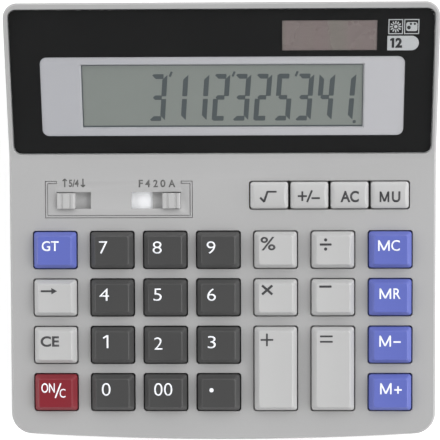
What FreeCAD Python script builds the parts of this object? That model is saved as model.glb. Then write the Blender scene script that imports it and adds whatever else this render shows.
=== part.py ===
import FreeCAD, Part
import math
import os
from FreeCAD import Placement, Rotation, Vector

os.makedirs("parts", exist_ok=True)

# Case: a keyboard plane in front and a steeper display plane behind, seen from the side
case_width = 190.0
case_depth = 192.0
display_depth = 66.0
front_height = 13.2
keyboard_slope = 4.0
display_slope = 19.0
foot_standout = 2.0
parting_height = 8.5
wall = 2.2
back_corner_radius = 6.5
front_corner_radius = 9.5
front_bow_radius = 1450.0
top_edge_cut = 0.9
bottom_edge_cut = 1.2
crease_radius = 8.0
strip_height = 1.5
strip_thickness = 1.2
strip_gap = 0.15
strip_from_corner = 22.0

# Lens, its adhesive sheet, and what shows through the sheet's two windows
lens_from_side = 2.2
lens_from_crease = 1.7
lens_from_back = 3.2
lens_corner_radius = 3.6
lens_thickness = 1.5
lens_gap = 0.2
lens_bevel = 0.5
sheet_thickness = 0.2
display_floor = 2.0
window_shift = 0.25
frame_window_from_side = 12.8
frame_window_from_front = 8.0
frame_window_radius = 3.1
frame_overlap = 1.6
frame_corner_cut = 1.0
frame_thickness = 1.0
frame_bevel = 0.6
screen_from_side = 18.0
screen_from_end = 3.75
glass_border = 4.0
glass_thickness = 2.6
glass_ledge = 3.0
solar_window_width = 41.3
solar_window_depth = 13.2
solar_window_from_side = 24.95
solar_window_from_back = 5.4
solar_window_from_frame = 2.7
solar_border = 1.0
solar_thickness = 1.1
fit_gap = 0.2

# Display holder, held up by four clips of the top case
holder_wall = 2.4
holder_floor = 1.4
surround_height = 2.2
surround_thickness = 1.4
clip_width = 8.0
clip_nose = 1.2
clip_nose_height = 2.0
clip_inset = 22.0
clip_gap = 0.1

# Keys
outer_column_from_side = 20.3
group_spread = 1.8
column_bar = 3.7
row_bar = 4.1
first_row_from_crease = 41.1
last_row_from_front = 12.7
key_gap = 0.5
key_corner_cut = 0.8
key_height = 4.0
key_shoulder = 0.5
key_flank_side = 2.1
key_flank_end = 1.75
key_dish = 0.3
key_wall = 1.2
key_top_thickness = 2.0
key_flange_reach = 0.8
key_flange_thickness = 1.0
key_stop_gap = 0.1
key_travel = 2.0
plunger_width = 5.0
plunger_past_flange = 0.3

# The four small keys share one hole
small_hole_depth = 12.9
small_hole_past_keys = 1.7
small_hole_short_of_keys = 1.3
small_keys_from_crease = 16.8
small_key_height = 2.0
small_key_flank_side = 1.3
small_key_flank_end = 0.9

# Ribs that guide the keys, under the keyboard
rib_thickness = 1.2
rib_height = 3.6
rib_gap = 0.4

# Switches
switches_from_crease = 18.95
slot_depth = 7.5
knob_width = 8.1
knob_gap = 0.15
detent_pitch = 3.45
rounding_steps = 2
decimal_steps = 4
rounding_slot_from_column = 0.8
decimal_slot_from_column = 16.6
knob_height = 1.6
knob_grip_depth = 0.35
knob_grip_width = 1.1
cover_plate_thickness = 0.8
cover_plate_margin = 2.0
cover_past_knob = 3.0
decimal_cover_shows = 4.6
runner_gap = 0.2
runner_thickness = 1.2
guide_thickness = 0.8
guide_past_slots = 4.0
switch_leg_width = 3.0
switch_leg_depth = 1.3
wiper_thickness = 0.25
wiper_length = 7.0
groove_width = 1.3
groove_depth = 0.3
groove_from_slots = 4.55
groove_back = 10.9
groove_front = 26.2
groove_stub = 3.95

# Circuit board and dome sheet, parallel to the keyboard
dome_when_pressed = 0.6
dome_base_width = 8.4
dome_top_width = 6.4
dome_gap = 0.1
dome_sheet_thickness = 0.7
board_thickness = 1.5
board_from_side = 11.0
board_past_last_row = 10.0
board_back = 6.0
sheet_margin = 3.0
board_post_width = 3.0
pin_width = 1.8
pin_gap = 0.1
pin_past_board = 0.8
chip_size = 10.0
chip_thickness = 1.4
chip_shift = 22.0
chip_from_crease = 3.5
capacitor_width = 3.0
capacitor_length = 6.0
capacitor_height = 2.4
capacitor_shift = -30.0
capacitor_pitch = 9.0

# Flat cables: display ribbon, solar cell cable, battery leads
cable_thickness = 0.3
cable_on_board = 3.0
ribbon_from_cable = 2.0
ribbon_on_glass = 1.8
ribbon_drop = 3.5
solar_cable_width = 4.0
solar_cable_drop = 6.0
solar_cable_from_clip = 1.6
solar_cable_slot = 1.0
lead_width = 1.6
lead_length_on_contact = 4.0
cable_arrives_above = 1.5

# Case screws and posts
case_screw_from_side = 6.0
case_screw_from_front = 18.0
case_screw_from_back = 22.0
post_width = 7.2
boss_width = 5.8
case_screw_radius = 1.3
case_screw_head_radius = 2.6
case_screw_head = 1.8
case_screw_seat = 5.2
case_screw_bite = 5.0
screw_gap = 0.1

# Board support ribs on the floor of the bottom case
support_x = (-46.0, 46.0)
support_thickness = 1.2
support_gap = 0.3

# Feet
foot_radius = 6.0
foot_from_side = 21.0
foot_from_end = 18.0

# Battery bay, cell and the door that slides out backwards
cell_radius = 7.1
cell_length = 49.2
cell_nub_radius = 2.7
cell_nub_length = 1.3
cell_clearance = 0.5
bay_x = -34.0
bay_from_back = 20.0
bay_wall = 1.5
rail_wall = 2.2
rail_height = 4.0
spring_space = 5.0
contact_space = 1.4
contact_thickness = 0.4
contact_width = 11.0
contact_tag = 3.0
leaf_reach = 4.4
leaf_width = 6.0
leaf_half_height = 5.0
door_gap = 0.3
door_tongue = 1.0
door_tongue_thickness = 1.0
door_tongue_from_back = 6.0
door_grip_count = 4
door_grip_pitch = 2.4
door_grip_width = 1.2
door_grip_depth = 0.5
door_grip_length = 18.0

front_y = -case_depth / 2
back_y = case_depth / 2
keyboard_depth = case_depth - display_depth
crease_y = front_y + keyboard_depth
crease_z = front_height + keyboard_depth * math.tan(math.radians(keyboard_slope))
case_screw_x = case_width / 2 - case_screw_from_side
case_screw_rows = (front_y + case_screw_from_front, back_y - case_screw_from_back)
up = Vector(0, 0, 1)
near = 0.01
keyboard = Placement(Vector(0, crease_y, crease_z), Rotation(Vector(1, 0, 0), keyboard_slope))
display = Placement(Vector(0, crease_y, crease_z), Rotation(Vector(1, 0, 0), display_slope))

# Heights in the keyboard's own frame, where its surface is 0
dome_height = key_travel + dome_when_pressed
flange_high = -wall - key_stop_gap
flange_low = flange_high - key_flange_thickness
plunger_low = flange_low - plunger_past_flange
dome_top = plunger_low - dome_gap
sheet_high = dome_top - dome_height
board_high = sheet_high - dome_sheet_thickness
board_low = board_high - board_thickness
rib_low = -wall - rib_height
cover_high = -wall - key_stop_gap
cover_low = cover_high - cover_plate_thickness
guide_high = cover_low - key_stop_gap
guide_low = guide_high - guide_thickness
wiper_high = board_high + wiper_thickness * 3

# Heights in the display's own frame, where the case's surface is 0
recess_depth = lens_thickness + sheet_thickness
display_under = -recess_depth - display_floor
frame_low = -recess_depth - frame_thickness
glass_low = frame_low - glass_thickness
holder_low = glass_low - holder_floor


def rounded_outline(width, depth, radius, z=0.0, x=0.0, y=0.0):
    arcs = []
    for turn, (side_x, side_y) in enumerate(((1, 1), (-1, 1), (-1, -1), (1, -1))):
        centre = Vector(x + side_x * (width / 2 - radius), y + side_y * (depth / 2 - radius), z)
        start = turn * math.pi / 2
        arcs.append(Part.Arc(Part.Circle(centre, up, radius), start, start + math.pi / 2).toShape())
    edges = []
    for arc, following in zip(arcs, arcs[1:] + arcs[:1]):
        edges.append(arc)
        edges.append(Part.makeLine(arc.Vertexes[-1].Point, following.Vertexes[0].Point))
    return Part.Wire(edges)


def polygon(points):
    return Part.makePolygon(points + points[:1])


def cut_corners(width, depth, cut, z=0.0, x=0.0, y=0.0):
    """The points of a rectangle with its four corners cut off at 45 degrees, or plain where the cut is 0."""
    right = width / 2
    back = depth / 2
    corners = [
        (right, cut - back), (right, back - cut), (right - cut, back), (cut - right, back),
        (-right, back - cut), (-right, cut - back), (cut - right, -back), (right - cut, -back),
    ]
    if cut == 0:
        corners = corners[::2]
    return [Vector(x + across, y + along, z) for across, along in corners]


def cut_block(width, depth, cut, low, high, x=0.0, y=0.0):
    outline = polygon(cut_corners(width, depth, cut, low, x, y))
    return Part.Face(outline).extrude(Vector(0, 0, high - low))


def block(width, depth, radius, low, high, x=0.0, y=0.0):
    outline = rounded_outline(width, depth, radius, low, x, y)
    return Part.Face(outline).extrude(Vector(0, 0, high - low))


def box(x0, x1, y0, y1, z0, z1):
    return Part.makeBox(x1 - x0, y1 - y0, z1 - z0, Vector(x0, y0, z0))


def rod(radius, low, high, x=0.0, y=0.0):
    return Part.makeCylinder(radius, high - low, Vector(x, y, low))


def tapered(sections, x=0.0, y=0.0):
    """A solid with flat sides through cut-corner sections, each given as width, depth, cut and height."""
    rings = []
    for width, depth, cut, z in sections:
        rings.append(cut_corners(width, depth, cut, z, x, y))
    faces = [Part.Face(polygon(rings[0][::-1])), Part.Face(polygon(rings[-1]))]
    for low, high in zip(rings, rings[1:]):
        for index in range(len(low)):
            faces.append(Part.Face(polygon([low[index - 1], low[index], high[index], high[index - 1]])))
    return Part.Solid(Part.Shell(faces))


def placed(shape, frame):
    result = shape.copy()
    result.Placement = frame.multiply(result.Placement)
    return result


def moved(shape, x, y, z=0.0):
    result = shape.copy()
    result.translate(Vector(x, y, z))
    return result


def joined(shapes):
    return shapes[0].multiFuse(shapes[1:]).removeSplitter()


def side_profile(points, half_width):
    corners = [Vector(-half_width, y, z) for y, z in points]
    return Part.Face(polygon(corners)).extrude(Vector(2 * half_width, 0, 0))


def flat_cable(points, width, x):
    """A thin strip along a bent line given as Y and Z points, its thickness laid on one side."""
    line = [Vector(0, y, z) for y, z in points]
    sides = []
    for start, end in zip(line, line[1:]):
        along = (end - start).normalize()
        sides.append(Vector(0, -along.z, along.y))
    offset = [line[0] + sides[0] * cable_thickness]
    for corner, before, after in zip(line[1:], sides, sides[1:]):
        offset.append(corner + (before + after) * (cable_thickness / (1 + before.dot(after))))
    offset.append(line[-1] + sides[-1] * cable_thickness)
    outline = [point + Vector(x - width / 2, 0, 0) for point in line + offset[::-1]]
    return Part.Face(polygon(outline)).extrude(Vector(width, 0, 0))


# Case outline seen from above, and the whole case as a solid form

def case_outline(inset, z):
    half = case_width / 2 - inset
    back = back_y - inset
    back_radius = back_corner_radius - inset
    front_radius = front_corner_radius - inset
    bow_radius = front_bow_radius - inset
    bow_centre = Vector(0, front_y + front_bow_radius, z)
    front_centre_x = half - front_radius
    front_centre_y = bow_centre.y - math.sqrt((bow_radius - front_radius) ** 2 - front_centre_x ** 2)
    right_centre = Vector(front_centre_x, front_centre_y, z)
    left_centre = Vector(-front_centre_x, front_centre_y, z)
    right_bow = bow_centre + (right_centre - bow_centre) * (bow_radius / (bow_radius - front_radius))
    left_bow = Vector(-right_bow.x, right_bow.y, z)
    turn = math.atan2(right_bow.y - right_centre.y, right_bow.x - right_centre.x)
    front_right = Part.Arc(Part.Circle(right_centre, up, front_radius), turn, 0).toShape()
    front_left = Part.Arc(Part.Circle(left_centre, up, front_radius), math.pi, math.pi - turn).toShape()
    back_right_centre = Vector(half - back_radius, back - back_radius, z)
    back_left_centre = Vector(back_radius - half, back - back_radius, z)
    back_right = Part.Arc(Part.Circle(back_right_centre, up, back_radius), 0, math.pi / 2).toShape()
    back_left = Part.Arc(Part.Circle(back_left_centre, up, back_radius), math.pi / 2, math.pi).toShape()
    edges = [
        front_right,
        Part.makeLine(Vector(half, front_centre_y, z), Vector(half, back - back_radius, z)),
        back_right,
        Part.makeLine(Vector(half - back_radius, back, z), Vector(back_radius - half, back, z)),
        back_left,
        Part.makeLine(Vector(-half, back - back_radius, z), Vector(-half, front_centre_y, z)),
        front_left,
        Part.Arc(left_bow, Vector(0, bow_centre.y - bow_radius, z), right_bow).toShape(),
    ]
    return Part.Wire(Part.__sortEdges__(edges))


def case_form(inset, keyboard_drop, display_drop, low):
    keyboard_rise = math.tan(math.radians(keyboard_slope))
    display_rise = math.tan(math.radians(display_slope))
    keyboard_z = crease_z - keyboard_drop / math.cos(math.radians(keyboard_slope))
    display_z = crease_z - display_drop / math.cos(math.radians(display_slope))
    meet = (keyboard_z - display_z) / (display_rise - keyboard_rise)
    beyond = wall * 2
    points = [
        (front_y - beyond, low),
        (back_y + beyond, low),
        (back_y + beyond, display_z + (back_y + beyond - crease_y) * display_rise),
        (crease_y + meet, display_z + meet * display_rise),
        (front_y - beyond, keyboard_z + (front_y - beyond - crease_y) * keyboard_rise),
    ]
    side = side_profile(points, case_width)
    plan = Part.Face(case_outline(inset, low)).extrude(Vector(0, 0, case_depth))
    return plan.common(side)


def crease_edge(form):
    for edge in form.Edges:
        span = edge.BoundBox
        if span.XLength > case_width / 2 and abs(span.YMin - crease_y) + abs(span.YMax - crease_y) < near:
            return edge


def outline_edges(form, above):
    outline = case_outline(0.0, 0.0)
    chosen = []
    for edge in form.Edges:
        middle = edge.valueAt((edge.FirstParameter + edge.LastParameter) / 2)
        along = edge.tangentAt((edge.FirstParameter + edge.LastParameter) / 2)
        on_outline = outline.distToShape(Part.Vertex(middle.x, middle.y, 0))[0] < near
        upright = abs(along.z) > math.cos(math.radians(display_slope))
        if on_outline and not upright and (middle.z > parting_height) == above:
            chosen.append(edge)
    return chosen


def case_solid():
    form = case_form(0.0, 0.0, 0.0, foot_standout)
    form = form.makeFillet(crease_radius, [crease_edge(form)])
    form = form.makeChamfer(top_edge_cut, outline_edges(form, True))
    return form.makeChamfer(bottom_edge_cut, outline_edges(form, False))


# Keys by column from the left, each column from the display to the front edge
key_columns = (
    ("gt", "right_shift", "ce", "on_c"),
    ("7", "4", "1", "0"),
    ("8", "5", "2", "00"),
    ("9", "6", "3", "point"),
    ("percent", "multiply", "plus"),
    ("divide", "minus", "equals"),
    ("mc", "mr", "m_minus", "m_plus"),
)
# The tall keys reach over the last two rows
tall_names = ("plus", "equals")
small_names = ("square_root", "sign", "ac", "mu")
# A pin holds the board at the front left corner of each of these keys
pin_names = ("7", "1", "multiply", "mc", "m_minus")

# Key places: column centres across, row centres down the keyboard
row_count = len(key_columns[0])
group_gaps = 4
keyboard_length = keyboard_depth / math.cos(math.radians(keyboard_slope))
outer_column = case_width / 2 - outer_column_from_side
number_pitch = (outer_column * 2 - group_spread * group_gaps) / (len(key_columns) - 1)
group_pitch = number_pitch + group_spread
rows_span = keyboard_length - first_row_from_crease - last_row_from_front + row_bar / 2
row_pitch = rows_span / (row_count - 1 / 2)
key_hole_width = number_pitch - column_bar
key_hole_depth = row_pitch - row_bar
columns = [-outer_column]
for step in (group_pitch, number_pitch, number_pitch, group_pitch, group_pitch, group_pitch):
    columns.append(columns[-1] + step)
rows = [-first_row_from_crease - row_pitch * index for index in range(row_count)]
column_gaps = [(left + right) / 2 for left, right in zip(columns, columns[1:])]
row_gaps = [(one + following) / 2 for one, following in zip(rows, rows[1:])]
tall_y = (rows[-2] + rows[-1]) / 2
tall_hole_depth = key_hole_depth + row_pitch
single_keys = []
tall_keys = []
pin_points = []
for x, left_gap, names in zip(columns, column_gaps[:1] + column_gaps, key_columns):
    for y, front_gap, name in zip(rows, row_gaps + row_gaps[-1:], names):
        if name in tall_names:
            tall_keys.append((name, x, tall_y))
        else:
            single_keys.append((name, x, y))
        if name in pin_names:
            pin_points.append((left_gap, front_gap))

board_front = rows[-1] - board_past_last_row

# The small keys stand side by side over the last three columns
small_y = -small_keys_from_crease
small_hole_left = columns[-3] - key_hole_width / 2 - small_hole_past_keys
small_hole_right = columns[-1] + key_hole_width / 2 - small_hole_short_of_keys
small_hole_width = small_hole_right - small_hole_left
small_hole_x = (small_hole_left + small_hole_right) / 2
small_key_pitch = small_hole_width / len(small_names)
small_keys = []
for name in small_names:
    small_keys.append((name, small_hole_left + small_key_pitch * (len(small_keys) + 1 / 2), small_y))


def holes():
    """Each hole in the keyboard as width, depth, x and y."""
    found = []
    for name, x, y in single_keys:
        found.append((key_hole_width, key_hole_depth, x, y))
    for name, x, y in tall_keys:
        found.append((key_hole_width, tall_hole_depth, x, y))
    found.append((small_hole_width, small_hole_depth, small_hole_x, small_y))
    return found


def key_cap(body_width, body_depth, height, flank_side, flank_end, flange_side, flange_end):
    """A cap with even walls and a scooped top, a flange that holds it in, and a plunger."""
    top_width = body_width - 2 * flank_side
    top_depth = body_depth - 2 * flank_end
    cap = tapered((
        (body_width, body_depth, key_corner_cut, flange_high),
        (body_width, body_depth, key_corner_cut, key_shoulder),
        (top_width, top_depth, key_corner_cut, height),
    ))
    half_width = body_width / 2 + flange_side
    half_depth = body_depth / 2 + flange_end
    flange = box(-half_width, half_width, -half_depth, half_depth, flange_low, flange_high)
    solid = joined([cap, flange])
    inside_high = height - key_top_thickness
    inside_width = body_width - 2 * key_wall
    inside_depth = body_depth - 2 * key_wall
    hollow = tapered((
        (inside_width, inside_depth, 0.0, flange_low),
        (inside_width, inside_depth, 0.0, key_shoulder),
        (top_width - 2 * key_wall, top_depth - 2 * key_wall, 0.0, height),
    ))
    hollow = hollow.common(box(-body_width, body_width, -body_depth, body_depth, flange_low, inside_high))
    half = plunger_width / 2
    plunger = box(-half, half, -half, half, plunger_low, inside_high)
    solid = joined([solid.cut(hollow), plunger])
    scoop_radius = (top_width / 2) ** 2 / (2 * key_dish)
    scoop_centre = Vector(0, -body_depth, height - key_dish + scoop_radius)
    scoop = Part.makeCylinder(scoop_radius, body_depth * 2, scoop_centre, Vector(0, 1, 0))
    return solid.cut(scoop)


def wide_key(hole_depth):
    reach = key_flange_reach + key_gap
    return key_cap(
        key_hole_width - 2 * key_gap, hole_depth - 2 * key_gap,
        key_height, key_flank_side, key_flank_end, reach, reach)


def small_key():
    reach = key_flange_reach + key_gap
    return key_cap(
        small_key_pitch - 2 * key_gap, small_hole_depth - 2 * key_gap,
        small_key_height, small_key_flank_side, small_key_flank_end, 0.0, reach)


# Switch places: left end of the slot and number of steps, in the keyboard's frame

switch_y = -switches_from_crease
runner_depth = slot_depth + 2 * cover_plate_margin
leg_y = switch_y - (runner_depth - switch_leg_depth) / 2


def slot_width(steps):
    return knob_width + steps * detent_pitch + 2 * knob_gap


rounding_slot_left = columns[0] + rounding_slot_from_column
rounding_slot_right = rounding_slot_left + slot_width(rounding_steps)
decimal_slot_right = columns[3] - decimal_slot_from_column
decimal_slot_left = decimal_slot_right - slot_width(decimal_steps)
rounding_knob_x = rounding_slot_left + knob_gap + knob_width / 2
decimal_knob_x = decimal_slot_right - knob_gap - knob_width / 2
guide_left = rounding_slot_left - guide_past_slots
guide_right = decimal_slot_right + guide_past_slots
guide_depth = runner_depth + 2 * (runner_gap + runner_thickness)


def switch_knob(x, cover_left, cover_right):
    """A ridged knob on a cover plate, whose leg goes down to the board beside the slot, out of sight."""
    half_depth = slot_depth / 2 - knob_gap
    knob = box(x - knob_width / 2, x + knob_width / 2, switch_y - half_depth, switch_y + half_depth,
               cover_high, knob_height)
    top_ends = [edge for edge in knob.Edges if edge.BoundBox.XLength < near and edge.BoundBox.ZMin > 0]
    knob = knob.makeFillet(knob_height / 2, top_ends)
    for side in (-1, 1):
        groove_x = x + side * (knob_width / 2 - knob_grip_width * 2)
        knob = knob.cut(box(
            groove_x - knob_grip_width / 2, groove_x + knob_grip_width / 2,
            switch_y - slot_depth, switch_y + slot_depth, knob_height - knob_grip_depth, knob_height))
    cover = box(cover_left, cover_right, switch_y - runner_depth / 2, switch_y + runner_depth / 2,
                cover_low, cover_high)
    leg = box(x - switch_leg_width / 2, x + switch_leg_width / 2,
              leg_y - switch_leg_depth / 2, leg_y + switch_leg_depth / 2, wiper_high, cover_low)
    return joined([knob, cover, leg])


def rounding_switch():
    return switch_knob(rounding_knob_x, rounding_slot_left - cover_past_knob, rounding_slot_right + knob_gap)


def decimal_switch():
    cover_left = decimal_knob_x - knob_width / 2 - decimal_cover_shows
    return switch_knob(decimal_knob_x, cover_left, decimal_slot_right + cover_past_knob)


def wiper(x):
    """A bent contact strip under a switch leg, just clear of the board."""
    half = wiper_length / 2
    crown = switch_leg_width / 2
    profile = [
        (-half, board_high + key_stop_gap), (-crown, wiper_high - wiper_thickness),
        (crown, wiper_high - wiper_thickness), (half, board_high + key_stop_gap),
        (half, board_high + key_stop_gap + wiper_thickness), (crown, wiper_high),
        (-crown, wiper_high), (-half, board_high + key_stop_gap + wiper_thickness),
    ]
    corners = [Vector(x + across, leg_y - switch_leg_depth / 2, z) for across, z in profile]
    return Part.Face(polygon(corners)).extrude(Vector(0, switch_leg_depth, 0))


def switch_guide():
    """The white plate under both switches, with a slot for each leg."""
    plate = box(guide_left, guide_right, switch_y - guide_depth / 2, switch_y + guide_depth / 2,
                guide_low, guide_high)
    half_depth = switch_leg_depth / 2 + runner_gap
    for knob_x, travel_left, travel_right in (
            (rounding_knob_x, 0.0, rounding_steps * detent_pitch),
            (decimal_knob_x, decimal_steps * detent_pitch, 0.0)):
        left = knob_x - travel_left - switch_leg_width / 2 - runner_gap
        right = knob_x + travel_right + switch_leg_width / 2 + runner_gap
        plate = plate.cut(box(left, right, leg_y - half_depth, leg_y + half_depth, guide_low, guide_high))
    return plate


# Top case

def key_ribs():
    """Ribs between the rows of keys, with room for each key's flange."""
    past_hole = key_flange_reach + rib_gap
    half_length = columns[-1] + key_hole_width / 2 + past_hole
    half = rib_thickness / 2
    first = rows[0] + key_hole_depth / 2 + past_hole + half
    last = rows[-1] - key_hole_depth / 2 - past_hole - half
    ribs = []
    for y in [first] + row_gaps + [last]:
        ribs.append(box(-half_length, half_length, y - half, y + half, rib_low, -wall))
    reach = tall_hole_depth / 2 + past_hole
    cuts = []
    side = key_hole_width / 2 + past_hole
    for name, x, y in tall_keys:
        cuts.append(box(x - side, x + side, y - reach, y + reach, rib_low, -wall))
    return [rib.cut(cuts) for rib in ribs]


def switch_runners():
    """Two runners beside the cover plates, which the guide plate is fixed under."""
    runners = []
    for side in (-1, 1):
        inner = switch_y + side * (runner_depth / 2 + runner_gap)
        outer = inner + side * runner_thickness
        runners.append(box(guide_left, guide_right, *sorted((inner, outer)), guide_high, -wall))
    return runners


def square_rod(width, low, high, x=0.0, y=0.0):
    half = width / 2
    return box(x - half, x + half, y - half, y + half, low, high)


def board_posts():
    """Posts that stop the board from above, each with a pin through the board."""
    posts = []
    for x, y in pin_points:
        post = square_rod(board_post_width, board_high, -wall, x, y)
        posts.append(joined([post, square_rod(pin_width, board_low - pin_past_board, board_high, x, y)]))
    return posts


def switch_frame_groove():
    """The engraved line round the switches, open between its two stubs."""
    half = groove_width / 2
    groove_left = rounding_slot_left - groove_from_slots
    groove_right = decimal_slot_right + groove_from_slots

    def line(x0, x1, y0, y1):
        return box(x0 - half, x1 + half, y0 - half, y1 + half, -groove_depth, wall)

    return joined([
        line(groove_left, groove_left, -groove_front, -groove_back),
        line(groove_right, groove_right, -groove_front, -groove_back),
        line(groove_left, groove_right, -groove_front, -groove_front),
        line(groove_left, groove_left + groove_stub, -groove_back, -groove_back),
        line(groove_right - groove_stub, groove_right, -groove_back, -groove_back),
    ])


def keyboard_cuts():
    cuts = []
    for width, depth, x, y in holes():
        cuts.append(cut_block(width, depth, key_corner_cut, -wall * 2, wall, x, y))
    for left, right in ((rounding_slot_left, rounding_slot_right), (decimal_slot_left, decimal_slot_right)):
        cuts.append(box(left, right, switch_y - slot_depth / 2, switch_y + slot_depth / 2, -wall * 2, wall))
    cuts.append(switch_frame_groove())
    return cuts


lens_width = case_width - 2 * lens_from_side
lens_front = lens_from_crease
lens_back = display_depth / math.cos(math.radians(display_slope)) - lens_from_back
lens_depth = lens_back - lens_front
lens_y = (lens_front + lens_back) / 2
solar_window_shift = lens_width / 2 - solar_window_from_side - solar_window_width / 2
solar_window_y = lens_back - solar_window_from_back - solar_window_depth / 2
frame_window_width = lens_width - 2 * frame_window_from_side
frame_window_front = lens_front + frame_window_from_front
frame_window_back = solar_window_y - solar_window_depth / 2 - solar_window_from_frame
frame_window_depth = frame_window_back - frame_window_front
frame_y = (frame_window_front + frame_window_back) / 2
frame_width = frame_window_width + 2 * frame_overlap
frame_depth = frame_window_depth + 2 * frame_overlap
screen_width = frame_window_width - 2 * screen_from_side
screen_depth = frame_window_depth - 2 * screen_from_end
glass_width = screen_width + 2 * glass_border
glass_depth = screen_depth + 2 * glass_border
solar_width = solar_window_width + 2 * solar_border
solar_depth = solar_window_depth + 2 * solar_border
clip_x = frame_width / 2 - clip_inset
solar_cable_x = window_shift + clip_x - clip_width / 2 - solar_cable_from_clip - solar_cable_width / 2
ribbon_width = 2 * (solar_cable_x - window_shift - solar_cable_width / 2 - ribbon_from_cable)
clip_places = []
for side_x in (-1, 1):
    for side_y in (-1, 1):
        clip_places.append((window_shift + side_x * clip_x, side_y))


def display_cuts():
    opening_width = frame_width + 2 * fit_gap
    opening_depth = frame_depth + 2 * fit_gap
    cuts = [
        block(lens_width + 2 * lens_gap, lens_depth + 2 * lens_gap, lens_corner_radius + lens_gap,
              -recess_depth, wall * 2, 0.0, lens_y),
        cut_block(opening_width, opening_depth, frame_corner_cut,
                  display_under * 2, 0.0, window_shift, frame_y),
        box(solar_window_shift - solar_width / 2 - fit_gap, solar_window_shift + solar_width / 2 + fit_gap,
            solar_window_y - solar_depth / 2 - fit_gap, solar_window_y + solar_depth / 2 + fit_gap,
            -recess_depth - solar_thickness, -recess_depth),
        box(solar_cable_x - solar_cable_width / 2 - fit_gap, solar_cable_x + solar_cable_width / 2 + fit_gap,
            solar_window_y - solar_cable_slot, solar_window_y + solar_cable_slot,
            display_under * 2, -recess_depth),
    ]
    return cuts


def display_surround():
    """The wall round the display's opening."""
    past_frame = 2 * (fit_gap + surround_thickness)
    outer_cut = frame_corner_cut + surround_thickness
    outside = cut_block(frame_width + past_frame, frame_depth + past_frame, outer_cut,
                        display_under - surround_height, display_under, window_shift, frame_y)
    return outside.cut(cut_block(frame_width + 2 * fit_gap, frame_depth + 2 * fit_gap, frame_corner_cut,
                                 display_under - surround_height, display_under, window_shift, frame_y))


def display_clips():
    """Four arms of the top case whose noses hold the display's tray up."""
    clips = []
    nose_low = holder_low - clip_gap - clip_nose_height
    for x, side in clip_places:
        inner = frame_y + side * (frame_depth / 2 + fit_gap)
        outer = inner + side * surround_thickness
        tip = inner - side * clip_nose
        profile = [
            (outer, display_under), (outer, nose_low), (inner, nose_low),
            (tip, holder_low - clip_gap - clip_nose_height / 2), (tip, holder_low - clip_gap),
            (inner, holder_low - clip_gap), (inner, display_under),
        ]
        corners = [Vector(x - clip_width / 2, y, z) for y, z in profile]
        clips.append(Part.Face(polygon(corners)).extrude(Vector(clip_width, 0, 0)))
    return clips


def case_bosses():
    bosses = []
    for y in case_screw_rows:
        for side in (-1, 1):
            bosses.append(square_rod(boss_width, parting_height, case_depth, side * case_screw_x, y))
    return bosses


def case_boss_holes():
    cuts = []
    for y in case_screw_rows:
        for side in (-1, 1):
            cuts.append(rod(case_screw_radius + screw_gap / 2, parting_height,
                            parting_height + case_screw_bite, side * case_screw_x, y))
    return cuts


def top_case():
    outside = case_solid()
    inside = case_form(wall, wall, -display_under, foot_standout + wall)
    above = box(-case_width, case_width, -case_depth, case_depth, parting_height, case_depth)
    shell = outside.cut(inside).common(above)
    bosses = joined(case_bosses()).common(outside)
    additions = [bosses]
    for shape in key_ribs() + switch_runners() + board_posts():
        additions.append(placed(shape, keyboard))
    for shape in [display_surround()] + display_clips():
        additions.append(placed(shape, display))
    shell = shell.multiFuse([shape.common(outside) for shape in additions])
    cuts = case_boss_holes()
    cuts.extend(placed(shape, keyboard) for shape in keyboard_cuts())
    cuts.extend(placed(shape, display) for shape in display_cuts())
    return shell.cut(cuts).removeSplitter()


# Bottom case, battery bay and door

floor_z = foot_standout + wall
bay_y = back_y - bay_from_back
cell_z = floor_z + cell_clearance + cell_radius
bay_length = cell_length + cell_nub_length + spring_space + contact_space
bay_left = bay_x - bay_length / 2
bay_right = bay_x + bay_length / 2
bay_front = bay_y - cell_radius - cell_clearance
bay_rear = bay_y + cell_radius + cell_clearance
bay_top = cell_z + cell_radius + cell_clearance


def door_zone(gap):
    """The space that the door fills: part of the floor and of the rear wall, with its tongues."""
    left = bay_left + door_gap - gap
    right = bay_right - door_gap + gap
    front = bay_front + door_gap - gap
    beyond = back_y + wall
    zone = [
        box(left, right, front, beyond, 0.0, floor_z + gap),
        box(left, right, back_y - wall - gap, beyond, 0.0, parting_height - door_gap + gap),
    ]
    tongue_back = beyond if gap else back_y - door_tongue_from_back
    tongue_low = floor_z - door_tongue_thickness - gap
    zone.append(box(left - door_tongue, right + door_tongue, front, tongue_back, tongue_low, floor_z))
    return joined(zone)


def battery_door(whole_bottom):
    door = whole_bottom.common(door_zone(0.0))
    for index in range(door_grip_count):
        y = back_y - wall * 3 - index * door_grip_pitch
        door = door.cut(box(bay_x - door_grip_length / 2, bay_x + door_grip_length / 2,
                            y - door_grip_width / 2, y + door_grip_width / 2,
                            foot_standout, foot_standout + door_grip_depth))
    return door


def battery_bay():
    """A tub over the cell, open below, whose side walls run back as rails over the door's tongues."""
    back = back_y - wall
    tub = box(bay_left - rail_wall, bay_right + rail_wall, bay_front - bay_wall, bay_rear + bay_wall,
              floor_z, bay_top + bay_wall)
    rails = box(bay_left - rail_wall, bay_right + rail_wall, bay_rear, back, floor_z, floor_z + rail_height)
    behind = box(bay_left, bay_right, bay_rear + bay_wall, back, floor_z, floor_z + rail_height)
    cuts = [behind, box(bay_left, bay_right, bay_front, bay_rear, floor_z, bay_top)]
    half = contact_width / 2 + fit_gap
    for x, inward in ((bay_left, 1), (bay_right, -1)):
        beyond = x + inward * (contact_thickness + fit_gap)
        cuts.append(box(*sorted((x, beyond)), bay_y - half, bay_y + half, bay_top, bay_top + bay_wall))
    return joined([tub, rails]).cut(cuts)


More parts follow.
